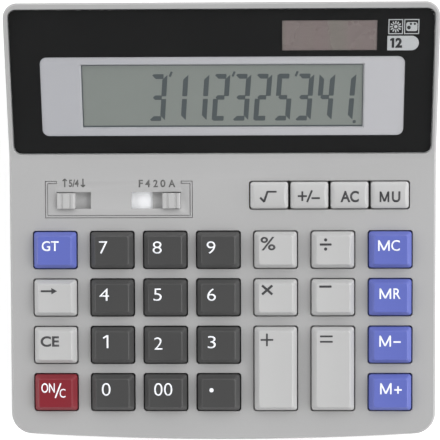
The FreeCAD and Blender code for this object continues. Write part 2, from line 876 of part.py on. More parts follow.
def board_supports():
    """Two ribs along the floor that carry the board from below."""
    blank = []
    front = crease_y + board_front
    for x in support_x:
        blank.append(box(x - support_thickness / 2, x + support_thickness / 2, front, crease_y,
                         floor_z - wall / 2, crease_z))
    above = box(-case_width, case_width, -case_depth, case_depth, board_low - support_gap, case_depth)
    return joined(blank).cut(placed(above, keyboard))


def locating_strips():
    """A strip inside each long side wall that stands up into the top case and lines it up."""
    strips = []
    y = case_screw_rows[-1] - strip_from_corner
    for side in (-1, 1):
        wall_x = side * (case_width / 2 - wall)
        outer = wall_x - side * strip_gap
        inner = outer - side * strip_thickness
        strips.append(box(*sorted((wall_x, inner)), -y, y, floor_z, parting_height))
        strips.append(box(*sorted((outer, inner)), -y, y, parting_height, parting_height + strip_height))
    return strips


def case_posts():
    posts = []
    for y in case_screw_rows:
        for side in (-1, 1):
            posts.append(square_rod(post_width, foot_standout, parting_height, side * case_screw_x, y))
    return posts


def bottom_case():
    outside = case_solid()
    inside = case_form(wall, wall, -display_under, floor_z)
    below = box(-case_width, case_width, -case_depth, case_depth, 0, parting_height)
    bare = outside.cut(inside).common(below)
    posts = [post.common(outside) for post in case_posts()]
    shell = bare.multiFuse([battery_bay(), board_supports()] + locating_strips() + posts)
    cuts = [door_zone(door_gap)]
    for y in case_screw_rows:
        for side in (-1, 1):
            x = side * case_screw_x
            cuts.append(rod(case_screw_head_radius + fit_gap, foot_standout, case_screw_seat, x, y))
            cuts.append(rod(case_screw_radius + fit_gap, case_screw_seat, parting_height, x, y))
    return shell.cut(cuts).removeSplitter(), bare


def cell():
    body = Part.makeCylinder(cell_radius, cell_length, Vector(0, 0, 0), Vector(1, 0, 0))
    nub = Part.makeCylinder(cell_nub_radius, cell_nub_length, Vector(cell_length, 0, 0), Vector(1, 0, 0))
    return moved(joined([body, nub]), bay_left + spring_space, bay_y, cell_z)


def flat_contact():
    """A plate at the cell's positive end, with a tag up through the bay's top."""
    half = contact_width / 2
    return box(bay_right - contact_thickness, bay_right, bay_y - half, bay_y + half,
               floor_z + fit_gap, bay_top + bay_wall + contact_tag)


def sprung_contact():
    """A plate at the cell's negative end and the bent leaf that presses on the cell."""
    half = contact_width / 2
    inner = bay_left + contact_thickness
    plate = box(bay_left, inner, bay_y - half, bay_y + half,
                floor_z + fit_gap, bay_top + bay_wall + contact_tag)
    bends = [
        (inner, cell_z + leaf_half_height),
        (bay_left + leaf_reach, cell_z),
        (inner, cell_z - leaf_half_height),
    ]
    outline = [Vector(x, bay_y - leaf_width / 2, z) for x, z in bends]
    outline += [Vector(x - contact_thickness, bay_y - leaf_width / 2, z) for x, z in bends[::-1]]
    leaf = Part.Face(polygon(outline)).extrude(Vector(0, leaf_width, 0))
    return joined([plate, leaf])


def feet():
    pads = []
    foot_x = case_width / 2 - foot_from_side
    foot_y = case_depth / 2 - foot_from_end
    for x in (-foot_x, foot_x):
        for y in (-foot_y, foot_y):
            pads.append(rod(foot_radius, 0.0, foot_standout, x, y))
    return Part.makeCompound(pads)


def case_screws():
    screws = []
    for y in case_screw_rows:
        for side in (-1, 1):
            x = side * case_screw_x
            head = rod(case_screw_head_radius, case_screw_seat - case_screw_head, case_screw_seat, x, y)
            shank = rod(case_screw_radius, case_screw_seat, parting_height + case_screw_bite - fit_gap, x, y)
            screws.append(head.fuse(shank).removeSplitter())
    return Part.makeCompound(screws)


# Board and what is on it

def main_board():
    half_width = case_width / 2 - board_from_side
    board = box(-half_width, half_width, board_front, board_back, board_low, board_high)
    hole_width = pin_width + 2 * pin_gap
    return board.cut([square_rod(hole_width, board_low, board_high, x, y) for x, y in pin_points])


def dome_places():
    return [(x, y) for name, x, y in single_keys + tall_keys + small_keys]


def dome_sheet():
    half = columns[-1] + dome_base_width / 2 + sheet_margin
    main_back = rows[0] + dome_base_width / 2 + sheet_margin
    main_front = rows[-1] - dome_base_width / 2 - sheet_margin
    small_left = small_keys[0][1] - dome_base_width / 2 - sheet_margin
    small_back = small_y + dome_base_width / 2 + sheet_margin
    sheet = joined([
        box(-half, half, main_front, main_back, board_high, sheet_high),
        box(small_left, half, main_back - sheet_margin, small_back, board_high, sheet_high),
    ])
    clear_width = board_post_width + 2 * fit_gap
    sheet = sheet.cut([square_rod(clear_width, board_high, sheet_high, x, y) for x, y in pin_points])
    low = dome_base_width / 2
    high = dome_top_width / 2
    dome = Part.makeWedge(-low, 0, -low, -high, -high, low, dome_height, low, high, high)
    dome.rotate(Vector(), Vector(1, 0, 0), 90)
    domes = [moved(dome, x, y, sheet_high) for x, y in dome_places()]
    return sheet.multiFuse(domes).removeSplitter()


def processor():
    half = chip_size / 2
    return box(chip_shift - half, chip_shift + half, -chip_from_crease - half, -chip_from_crease + half,
               board_high, board_high + chip_thickness)


def capacitors():
    cans = []
    for index in range(2):
        x = capacitor_shift + index * capacitor_pitch
        cans.append(box(x - capacitor_width / 2, x + capacitor_width / 2,
                        -chip_from_crease - capacitor_length / 2, -chip_from_crease + capacitor_length / 2,
                        board_high, board_high + capacitor_height))
    return Part.makeCompound(cans)


# Display pieces

def display_lens():
    lens = block(lens_width, lens_depth, lens_corner_radius, -lens_thickness, 0.0, 0.0, lens_y)
    rim = [edge for edge in lens.Edges if edge.BoundBox.ZMin > -near]
    return lens.makeChamfer(lens_bevel, rim)


def lens_sheet():
    sheet = block(lens_width, lens_depth, lens_corner_radius, -recess_depth, -lens_thickness, 0.0, lens_y)
    frame_window = block(frame_window_width, frame_window_depth, frame_window_radius,
                         -recess_depth, 0.0, window_shift, frame_y)
    half_width = solar_window_width / 2
    half_depth = solar_window_depth / 2
    solar_window = box(solar_window_shift - half_width, solar_window_shift + half_width,
                       solar_window_y - half_depth, solar_window_y + half_depth, -recess_depth, 0.0)
    return sheet.cut([frame_window, solar_window])


def display_frame():
    """The silver frame, with a bevelled opening over the display."""
    frame = cut_block(frame_width, frame_depth, frame_corner_cut,
                      frame_low, -recess_depth, window_shift, frame_y)
    bevel_width = screen_width + 2 * frame_bevel
    bevel_depth = screen_depth + 2 * frame_bevel
    opening = tapered((
        (screen_width, screen_depth, fit_gap, frame_low),
        (bevel_width, bevel_depth, fit_gap, -recess_depth),
    ), window_shift, frame_y)
    return frame.cut(opening)


glass_front = frame_y - glass_depth / 2
glass_back = frame_y + glass_depth / 2
glass_left = window_shift - glass_width / 2
glass_right = window_shift + glass_width / 2
glass_middle = frame_low - glass_thickness / 2


def display_glass():
    """Two sheets of glass; the upper one stands out at the front over its contacts."""
    upper = box(glass_left, glass_right, glass_front, glass_back, glass_middle, frame_low)
    lower = box(glass_left, glass_right, glass_front + glass_ledge, glass_back, glass_low, glass_middle)
    return joined([upper, lower])


def display_holder():
    """A tray that presses the glass and the frame up, cut away at the front for the ribbon."""
    front = frame_y - frame_depth / 2
    back = frame_y + frame_depth / 2
    tray = cut_block(frame_width, frame_depth, frame_corner_cut, holder_low, frame_low, window_shift, frame_y)
    cuts = [
        box(glass_left - fit_gap, glass_right + fit_gap, glass_front - fit_gap, glass_back + fit_gap,
            glass_low, frame_low),
        box(glass_left + holder_wall, glass_right - holder_wall, glass_front + holder_wall,
            glass_back - holder_wall, holder_low, glass_low),
        box(window_shift - ribbon_width / 2 - holder_wall, window_shift + ribbon_width / 2 + holder_wall,
            front - holder_wall, glass_front + holder_wall, holder_low, glass_middle),
    ]
    for side in (-1, 1):
        inner = window_shift + side * (glass_width / 2 + fit_gap + holder_wall)
        outer = window_shift + side * (frame_width / 2 - holder_wall)
        cuts.append(box(*sorted((inner, outer)), front + holder_wall, back - holder_wall,
                        holder_low, glass_low))
    return tray.cut(cuts)


def yz(frame, along, height):
    """A point of the keyboard's or the display's frame as Y and Z of the whole part."""
    point = frame.multVec(Vector(0, along, height))
    return point.y, point.z


board_edge = yz(keyboard, board_back, board_high)
on_board = yz(keyboard, board_back - cable_on_board, board_high)
above_board_edge = yz(keyboard, board_back + cable_on_board, board_high + cable_arrives_above)


def display_ribbon():
    """From the contacts under the glass's ledge, down and onto the board's back edge."""
    inside = glass_front + glass_ledge - fit_gap
    return flat_cable([
        on_board, board_edge,
        yz(display, glass_front - ribbon_on_glass, glass_middle - ribbon_drop),
        yz(display, inside - ribbon_on_glass, glass_middle - cable_thickness),
        yz(display, inside, glass_middle - cable_thickness),
    ], ribbon_width, window_shift)


def solar_cable():
    """From the back of the solar cell, under the display and onto the board."""
    cell_under = -recess_depth - solar_thickness
    return flat_cable([
        on_board, board_edge, above_board_edge,
        yz(display, solar_window_y, cell_under - solar_cable_drop),
        yz(display, solar_window_y, cell_under),
    ], solar_cable_width, solar_cable_x)


def battery_leads():
    """From the board's underside, below the ribbon and over the bay, to each contact's tag."""
    lead_z = bay_top + bay_wall + contact_tag / 2
    route = [
        yz(keyboard, board_back - cable_on_board, board_low - cable_thickness),
        yz(keyboard, board_back + cable_on_board, board_low - cable_thickness),
        (bay_front - bay_wall, lead_z), (bay_y + lead_length_on_contact, lead_z),
    ]
    leads = []
    for x in (bay_left - lead_width / 2, bay_right + lead_width / 2):
        leads.append(flat_cable(route, lead_width, x))
    return Part.makeCompound(leads)


def solar_cell():
    return box(solar_window_shift - solar_width / 2, solar_window_shift + solar_width / 2,
               solar_window_y - solar_depth / 2, solar_window_y + solar_depth / 2,
               -recess_depth - solar_thickness, -recess_depth)


def save(name, shape):
    shape.exportStep("parts/" + name + ".step")


def build_keys():
    single = wide_key(key_hole_depth)
    tall = wide_key(tall_hole_depth)
    small = small_key()
    for shape, places in ((single, single_keys), (tall, tall_keys), (small, small_keys)):
        for name, x, y in places:
            save("key_" + name, placed(moved(shape, x, y), keyboard))


def build_case():
    save("top_case", top_case())
    bottom, bare = bottom_case()
    save("bottom_case", bottom)
    save("battery_door", battery_door(bare))
    save("feet", feet())
    save("case_screws", case_screws())


def build_switches():
    save("rounding_switch", placed(rounding_switch(), keyboard))
    save("decimal_switch", placed(decimal_switch(), keyboard))
    save("rounding_wiper", placed(wiper(rounding_knob_x), keyboard))
    save("decimal_wiper", placed(wiper(decimal_knob_x), keyboard))
    save("switch_guide", placed(switch_guide(), keyboard))


def build_board():
    save("main_board", placed(main_board(), keyboard))
    save("dome_sheet", placed(dome_sheet(), keyboard))
    save("processor", placed(processor(), keyboard))
    save("capacitors", placed(capacitors(), keyboard))


def build_display():
    save("display_lens", placed(display_lens(), display))
    save("lens_sheet", placed(lens_sheet(), display))
    save("display_frame", placed(display_frame(), display))
    save("display_glass", placed(display_glass(), display))
    save("display_holder", placed(display_holder(), display))
    save("solar_cell", placed(solar_cell(), display))
    save("display_ribbon", display_ribbon())
    save("solar_cable", solar_cable())


def build_power():
    save("battery_cell", cell())
    save("flat_contact", flat_contact())
    save("sprung_contact", sprung_contact())
    save("battery_leads", battery_leads())


build_keys()
build_case()
build_switches()
build_board()
build_display()
build_power()
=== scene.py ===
import math
from contextlib import contextmanager

import bmesh
import bpy
from mathutils import Matrix, Vector


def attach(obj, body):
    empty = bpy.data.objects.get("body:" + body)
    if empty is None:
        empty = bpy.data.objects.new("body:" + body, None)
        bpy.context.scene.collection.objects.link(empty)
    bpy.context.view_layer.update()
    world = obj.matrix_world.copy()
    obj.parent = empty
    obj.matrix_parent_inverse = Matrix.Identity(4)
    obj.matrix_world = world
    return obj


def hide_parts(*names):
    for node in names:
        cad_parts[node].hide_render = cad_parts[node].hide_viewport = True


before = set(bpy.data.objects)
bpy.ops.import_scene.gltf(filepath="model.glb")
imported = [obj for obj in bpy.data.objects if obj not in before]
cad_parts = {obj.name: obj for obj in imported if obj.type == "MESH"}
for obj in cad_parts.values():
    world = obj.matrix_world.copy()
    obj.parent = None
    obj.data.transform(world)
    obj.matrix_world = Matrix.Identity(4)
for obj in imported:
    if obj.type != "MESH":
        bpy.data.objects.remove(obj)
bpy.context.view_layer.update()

# The ground and the two sloping planes of the calculator, which both start at the crease
ground = Matrix.Identity(4)
crease = Matrix.Translation((0, 0.030, 0.022011))
keyboard = crease @ Matrix.Rotation(math.radians(4), 4, "X")
display = crease @ Matrix.Rotation(math.radians(19), 4, "X")
to_metres = Matrix.Scale(0.001, 4)

# The camera that was solved for the photo: its place in metres and its turns in degrees
camera_place = (0.01386, -0.01185, 0.74796)
camera_turns = (("X", 1.111), ("Y", 1.172), ("Z", -0.134))

# Key places on the keyboard plane, in millimetres
column_x = (-74.7, -49.2, -25.5, -1.8, 23.7, 49.2, 74.7)
row_y = (-41.1, -62.402, -83.704, -105.006)
tall_y = -94.355
small_x = (20.925, 38.775, 56.625, 74.475)
small_y = -16.8

# Key caps: heights are from the keyboard plane, and every row of a top sinks a little
key_height = 4.0
small_key_height = 2.0
cap_foot = -2.3
cap_shoulder = 0.5
cap_corner = 1.25
cap_wall = 1.2
cap_top_thickness = 2.0
cap_scoop = 0.3
cap_top_edge = 0.3
cap_shoulder_edge = 0.4
cap_strips = 8
row_sink = 0.02
flange_thickness = 1.0
plunger_width = 5.0
plunger_end = -3.6

# Prints on the keys
legend_thickness = 0.05
legend_crease_pitch = 0.63
legend_creases_each_side = 8
over_the_caps = 6.0

# Display: heights of the liquid crystal's face and of the two prints behind the lens, and the lens
glass_face = -2.69
pale_print_face = -1.46
dark_print_face = -1.43
lens_size = (185.6, 64.903)
lens_thickness = 1.42
lens_front = 1.7

# Switches, case, screws and feet
knob_back = -15.35
knob_gap = 0.3
groove_floor = -0.3
parting_height = 8.5
screw_x, screw_y = (-89, 89), (-78, 74)
foot_x, foot_y = (-74, 74), (-78, 78)
foot_radius = 6.0
foot_height = 2.0

# How near counts as the same place or row, how near corners are merged, and which folds stay sharp
near = 0.01
same_row = 0.02
merge_distance = 0.0005
sharp_from = math.radians(40)


# Working by hand, in code

def choose(piece):
    bpy.ops.object.select_all(action="DESELECT")
    piece.select_set(True)
    bpy.context.view_layer.objects.active = piece


@contextmanager
def editing(piece):
    choose(piece)
    bpy.ops.object.mode_set(mode="EDIT")
    yield
    bpy.ops.object.mode_set(mode="OBJECT")


def pick_all():
    bpy.ops.mesh.select_all(action="SELECT")


def pick(piece, kind, wanted):
    """Selects only the corners, edges or faces that are wanted, in edit mode."""
    bpy.ops.mesh.select_mode(type=kind)
    bpy.ops.mesh.select_all(action="DESELECT")
    shape = bmesh.from_edit_mesh(piece.data)
    shape.normal_update()
    items = {"VERT": shape.verts, "EDGE": shape.edges, "FACE": shape.faces}[kind]
    chosen = [item for item in items if wanted(item)]
    for item in chosen:
        item.select_set(True)
    if not chosen:
        raise ValueError("nothing to pick on " + piece.name)
    bmesh.update_edit_mesh(piece.data)


def middle(item):
    return sum((corner.co for corner in item.verts), Vector()) / len(item.verts)


def faces_at(height, turned=1):
    return lambda face: abs(middle(face).z - height) < near and faces_up(face, turned)


def faces_up(face, turned=1):
    return face.normal.z * turned > 0.9


def upright(edge):
    low, high = (corner.co for corner in edge.verts)
    return abs(low.x - high.x) < 0.001 and abs(low.y - high.y) < 0.001


def fold(edge, least=0.3):
    return len(edge.link_faces) == 2 and edge.calc_face_angle(0) > least


def round_off(size, steps, kind="EDGES"):
    bpy.ops.mesh.bevel(
        offset=size, segments=steps, affect=kind, offset_type="OFFSET", clamp_overlap=True)


def extrude(rise):
    bpy.ops.mesh.extrude_region_move(TRANSFORM_OT_translate={"value": (0, 0, rise)})


def step_to(wide, deep, from_wide, from_deep):
    """Extrudes the picked faces in place and resizes them about the middle."""
    extrude(0)
    resize(wide / from_wide, deep / from_deep)


def lift(rise):
    bpy.ops.transform.translate(value=(0, 0, rise))


def resize(across, along):
    bpy.ops.transform.resize(value=(across, along, 1), center_override=(0, 0, 0))


def crease_across(axis, spot):
    """Cuts the whole piece across an axis (0 or 1) and keeps both sides."""
    pick_all()
    direction = Vector((1 - axis, axis, 0))
    bpy.ops.mesh.bisect(plane_co=direction * spot, plane_no=direction)


def just_added(name):
    """Names the object that was added last and applies its place and size."""
    piece = bpy.context.object
    piece.name = piece.data.name = name
    bpy.ops.object.transform_apply(location=True, rotation=True, scale=True)
    return piece


def block(name, width, depth, low, high):
    bpy.ops.object.select_all(action="DESELECT")
    bpy.ops.mesh.primitive_cube_add(
        size=1, location=(0, 0, (low + high) / 2), scale=(width, depth, high - low))
    return just_added(name)


def flat(name, x0, x1, y0, y1):
    bpy.ops.object.select_all(action="DESELECT")
    bpy.ops.mesh.primitive_plane_add(size=1, location=((x0 + x1) / 2, (y0 + y1) / 2, 0))
    bpy.context.object.scale = (x1 - x0, y1 - y0, 1)
    return just_added(name)


def disc(name, radius, x, y, corners=40):
    bpy.ops.object.select_all(action="DESELECT")
    bpy.ops.mesh.primitive_circle_add(
        vertices=corners, radius=radius, fill_type="NGON", location=(x, y, 0))
    return just_added(name)


def finish_with(piece, kind, **settings):
    choose(piece)
    modifier = piece.modifiers.new(kind.title(), kind)
    for name, value in settings.items():
        setattr(modifier, name, value)
    bpy.ops.object.modifier_apply(modifier=modifier.name)


def join(name, pieces):
    bpy.ops.object.select_all(action="DESELECT")
    for piece in pieces:
        piece.select_set(True)
    bpy.context.view_layer.objects.active = pieces[0]
    if len(pieces) > 1:
        bpy.ops.object.join()
    pieces[0].name = pieces[0].data.name = name
    return pieces[0]


def twin(piece, name):
    copied = piece.copy()
    copied.data = piece.data.copy()
    copied.name = copied.data.name = name
    bpy.context.scene.collection.objects.link(copied)
    return copied


def merge():
    pick_all()
    bpy.ops.mesh.remove_doubles(threshold=merge_distance)


def face_outwards(piece):
    with editing(piece):
        merge()
        bpy.ops.mesh.normals_make_consistent(inside=False)


def smooth(piece):
    choose(piece)
    bpy.ops.object.shade_smooth_by_angle(angle=sharp_from)
    finish_with(piece, "WEIGHTED_NORMAL", keep_sharp=True)


def place(piece, plane, x=0.0, y=0.0, z=0.0):
    """Takes a piece from millimetres about its own middle to its place on a plane, in metres."""
    piece.data.transform(plane @ Matrix.Translation((x / 1000, y / 1000, z / 1000)) @ to_metres)


def fit_out(piece, slot, body, *nodes, finish=None):
    """Gives a piece its finish, its slot, its body and the CAD nodes that it stands for."""
    piece.data.materials.clear()
    piece.data.materials.append(finishes[slot] if finish is None else finish)
    if nodes:
        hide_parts(*nodes)
    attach(piece, body)


# Mixing finishes

class Wire:
    """A socket of a finish, which can be added, multiplied and so on as a number can."""

    def __init__(self, finish, socket):
        self.finish = finish
        self.socket = socket

    def maths(self, operation, first, second):
        return self.finish.node("ShaderNodeMath", {"operation": operation}, {0: first, 1: second})

    def __add__(self, other):
        return self.maths("ADD", self, other)

    def __radd__(self, other):
        return self.maths("ADD", other, self)

    def __sub__(self, other):
        return self.maths("SUBTRACT", self, other)

    def __rsub__(self, other):
        return self.maths("SUBTRACT", other, self)

    def __mul__(self, other):
        return self.maths("MULTIPLY", self, other)

    def __pow__(self, other):
        return self.maths("POWER", self, other)


class Finish:
    """A procedural material in the making."""

    def __init__(self, owner, coordinates="Object"):
        self.owner = owner if not isinstance(owner, str) else bpy.data.materials.new(owner)
        self.owner.use_nodes = True
        self.tree = self.owner.node_tree
        self.tree.nodes.clear()
        self.spot = self.node("ShaderNodeTexCoord", {}, {}, coordinates)

    def node(self, kind, settings, sockets, output=0):
        made = self.tree.nodes.new(kind)
        for name, value in settings.items():
            if name == "stops":
                self.set_stops(made.color_ramp, value)
            else:
                setattr(made, name, value)
        for name, value in sockets.items():
            if isinstance(value, Wire):
                self.tree.links.new(value.socket, made.inputs[name])
            else:
                made.inputs[name].default_value = value
        return Wire(self, made.outputs[output]) if made.outputs else made

    def set_stops(self, ramp, stops):
        while len(ramp.elements) < len(stops):
            ramp.elements.new(0.5)
        for element, (place, colour) in zip(ramp.elements, stops):
            element.position = place
            element.color = (*colour, 1)

    def mottle(self, per_metre, detail, sharpness=0.5, spot=None):
        sockets = {
            "Vector": spot or self.spot, "Scale": per_metre,
            "Detail": detail, "Roughness": sharpness,
        }
        return self.node("ShaderNodeTexNoise", {}, sockets, "Fac")

    def axis(self, name):
        return self.node("ShaderNodeSeparateXYZ", {}, {"Vector": self.spot}, name)

    def stretched(self, x, y, z):
        return self.node("ShaderNodeMapping", {}, {"Vector": self.spot, "Scale": (x, y, z)})

    def ramp(self, value, *stops):
        return self.node("ShaderNodeValToRGB", {"stops": stops}, {"Fac": value})

    def between(self, value, low, high):
        """0 up to low, 1 from high, smooth in between."""
        sockets = {"Value": value, "From Min": low, "From Max": high}
        return self.node("ShaderNodeMapRange", {"interpolation_type": "SMOOTHSTEP"}, sockets)

    def blend(self, amount, *colours):
        """Mixes two colours: a mix node takes them at 6 and 7, and gives the result at 2."""
        sockets = {0: amount}
        for number, colour in zip((6, 7), colours):
            sockets[number] = colour if isinstance(colour, Wire) else (*colour, 1)
        return self.node("ShaderNodeMix", {"data_type": "RGBA"}, sockets, 2)

    def worn_edges(self, radius):
        """1 along the outer edges, where hands polish the plastic, and 0 on the flats."""
        bent = self.node("ShaderNodeBevel", {"samples": 4}, {"Radius": radius})
        straight = self.node("ShaderNodeNewGeometry", {}, {}, "Normal")
        turned = self.node(
            "ShaderNodeVectorMath", {"operation": "DOT_PRODUCT"}, {0: bent, 1: straight}, "Value")
        return self.between(1 - turned, 0.02, 0.22)

    def bumps(self, height, depth, strength):
        sockets = {"Height": height, "Distance": depth, "Strength": strength}
        return self.node("ShaderNodeBump", {}, sockets)

    def show(self, shader):
        kind = "World" if isinstance(self.owner, bpy.types.World) else "Material"
        self.node("ShaderNodeOutput" + kind, {}, {"Surface": shader})
        return self.owner

    def surface(self, **sockets):
        named = {}
        for name, value in sockets.items():
            named[name.replace("_", " ").title().replace("Ior", "IOR")] = value
        return self.show(self.node("ShaderNodeBsdfPrincipled", {}, named))


def dimmer(colour, share):
    """A colour with each part multiplied; a share above 1 makes it brighter."""
    return tuple(part * share for part in colour)


def moulded_plastic(name, colour, roughness, grain, grain_depth, variation=0.05):
    """Plastic with a spark-eroded grain, slight clouding, a few fine scuffs and polished edges."""
    mix = Finish(name)
    cloud = mix.mottle(18, 4)
    fleck = mix.mottle(grain, 2)
    scuff = mix.between(mix.mottle(1, 5, 0.65, mix.stretched(900, 120, 400)), 0.66, 0.74)
    edges = mix.worn_edges(0.0002)
    clouded = mix.blend(cloud, dimmer(colour, 1 - variation), dimmer(colour, 1 + variation))
    flecked = mix.blend(fleck * 0.22, clouded, dimmer(colour, 0.72))
    worn = mix.blend(edges * 0.35, flecked, tuple(part * 0.75 + 0.22 for part in colour))
    return mix.surface(
        base_color=mix.blend(scuff * 0.08, worn, dimmer(colour, 1.25)),
        roughness=(roughness + (fleck - 0.5) * 0.16 + (cloud - 0.5) * 0.12
                   - edges * 0.12 - scuff * 0.06),
        normal=mix.bumps(fleck, grain_depth, 0.6),
    )


def white_with_painted_glow():
    """White plastic with a faint painted glow: a little emission lightens it down in its slot,
    where little light reaches.
    """
    mix = Finish("guide_white")
    cloud = mix.mottle(40, 4)
    fine = mix.mottle(3000, 2)
    return mix.surface(
        base_color=mix.blend(cloud, (0.90, 0.91, 0.93), (0.93, 0.94, 0.96)),
        roughness=0.4 + (fine - 0.5) * 0.15,
        normal=mix.bumps(fine, 0.00001, 0.5),
        # painted glow: this emission stands in for the light that the slot keeps from the white
        # guide
        emission_color=(0.97, 0.98, 1.0, 1),
        emission_strength=0.03,
    )


def clear_acrylic():
    """A clear sheet: it mirrors a little, more at a slant, and lets the rest through."""
    mix = Finish("clear_acrylic")
    slant = mix.node("ShaderNodeLayerWeight", {}, {"Blend": 0.5}, "Facing")
    inside = mix.node("ShaderNodeNewGeometry", {}, {}, "Backfacing")
    smear = mix.mottle(30, 4, 0.6)
    mirror = (0.038 + slant ** 5 * 0.9) * (1 - inside)
    through = mix.node("ShaderNodeBsdfTransparent", {}, {"Color": (0.97, 0.98, 0.98, 1)})
    gloss = mix.node(
        "ShaderNodeBsdfAnisotropic", {}, {"Color": (1, 1, 1, 1), "Roughness": 0.04 + smear * 0.05})
    return mix.show(mix.node("ShaderNodeMixShader", {}, {0: mirror, 1: through, 2: gloss}))


def printed_black():
    mix = Finish("printed_black_film")
    cloud = mix.mottle(25, 4)
    speck = mix.mottle(2500, 2)
    return mix.surface(
        base_color=mix.blend(cloud, (0.0103, 0.0099, 0.0101), (0.0141, 0.0136, 0.0136)),
        roughness=0.5 + (speck - 0.5) * 0.2,
        specular_ior_level=0.1,
        normal=mix.bumps(speck, 0.00001, 0.4),
    )


def ink(name, colour, roughness=0.5):
    """Pad-printed ink, a little thin where the stamp lifted."""
    mix = Finish(name)
    thin = mix.mottle(1800, 3, 0.6)
    return mix.surface(
        base_color=mix.blend(thin, dimmer(colour, 0.86), colour),
        roughness=roughness + (thin - 0.5) * 0.2,
        normal=mix.bumps(thin, 0.00001, 0.5),
    )


def silver_paint():
    mix = Finish("satin_silver_paint")
    cloud = mix.mottle(14, 3)
    flake = mix.mottle(6000, 2)
    streak = mix.mottle(1, 3, 0.5, mix.stretched(40, 2600, 900))
    # painted light: the frame's colour grows lighter towards its right side, where more light falls
    # on it
    painted_light_rightwards = mix.between(mix.axis("X"), -0.08, 0.09)
    base = mix.blend(painted_light_rightwards, (0.445, 0.431, 0.459), (0.518, 0.497, 0.521))
    flaked = mix.blend(flake * 0.3, base, (0.58, 0.56, 0.58))
    return mix.surface(
        base_color=mix.blend(streak * 0.14, flaked, (0.37, 0.364, 0.385)),
        metallic=0.12,
        roughness=0.36 + (cloud - 0.5) * 0.1 + (flake - 0.5) * 0.12,
        normal=mix.bumps(streak, 0.000006, 0.5),
    )


def display_polariser():
    """The grey-green face of the liquid crystal glass."""
    mix = Finish("display_polariser")
    cloud = mix.mottle(20, 4, 0.55)
    fine = mix.mottle(5000, 2)
    tint = mix.blend(cloud, (0.205, 0.218, 0.204), (0.228, 0.237, 0.221))
    return mix.surface(
        base_color=mix.blend(fine * 0.2, tint, (0.182, 0.195, 0.188)),
        roughness=0.42 + (fine - 0.5) * 0.15,
        normal=mix.bumps(fine, 0.000004, 0.4),
    )


def solar_glass():
    """Dark glass with faint bands of brown and green film behind it."""
    mix = Finish("solar_glass")
    band = mix.mottle(1, 2, 0.5, mix.stretched(70, 3, 3))
    cloud = mix.mottle(60, 3)
    film = mix.ramp(
        band, (0.3, (0.176, 0.174, 0.154)), (0.45, (0.203, 0.160, 0.156)),
        (0.58, (0.185, 0.171, 0.149)), (0.75, (0.216, 0.164, 0.166)))
    return mix.surface(
        base_color=mix.blend(cloud * 0.2, film, (0.242, 0.214, 0.207)),
        roughness=0.22 + cloud * 0.1,
        coat_weight=0.3,
        normal=mix.bumps(cloud, 0.000004, 0.4),
    )


def board_laminate():
    mix = Finish("board_laminate")
    cloud = mix.mottle(22, 4)
    fibre = mix.mottle(1, 4, 0.6, mix.stretched(2200, 260, 900))
    base = mix.blend(cloud, (0.26, 0.155, 0.05), (0.36, 0.22, 0.08))
    return mix.surface(
        base_color=mix.blend(fibre * 0.35, base, (0.42, 0.28, 0.12)),
        roughness=0.5 + (fibre - 0.5) * 0.2,
        normal=mix.bumps(fibre, 0.00003, 0.5),
    )


def soft_rubber(name, colour, bloom):
    mix = Finish(name)
    cloud = mix.mottle(45, 4)
    grit = mix.mottle(3200, 3)
    dusty = mix.between(cloud, 0.45, 0.75)
    return mix.surface(
        base_color=mix.blend(dusty * 0.4, colour, bloom),
        roughness=0.75 + (grit - 0.5) * 0.2,
        normal=mix.bumps(grit, 0.00004, 0.6),
    )


def plated_metal(name, colour, dull, roughness):
    mix = Finish(name)
    cloud = mix.mottle(120, 4)
    brush = mix.mottle(1, 4, 0.6, mix.stretched(5000, 500, 5000))
    tarnish = mix.between(cloud, 0.5, 0.8)
    return mix.surface(
        base_color=mix.blend(tarnish * 0.6, colour, dull),
        metallic=1.0,
        roughness=roughness + (brush - 0.5) * 0.2 + tarnish * 0.15,
        normal=mix.bumps(brush, 0.000008, 0.5),
    )


def smooth_skin(name, colour, other, roughness, per_metre):
    """A thin moulded or wrapped skin, such as film, resin or a wire's insulation."""
    mix = Finish(name)
    cloud = mix.mottle(per_metre, 4)
    fine = mix.mottle(3500, 2)
    return mix.surface(
        base_color=mix.blend(cloud, colour, other),
        roughness=roughness + (fine - 0.5) * 0.15 + (cloud - 0.5) * 0.1,
        normal=mix.bumps(fine, 0.00001, 0.5),
    )


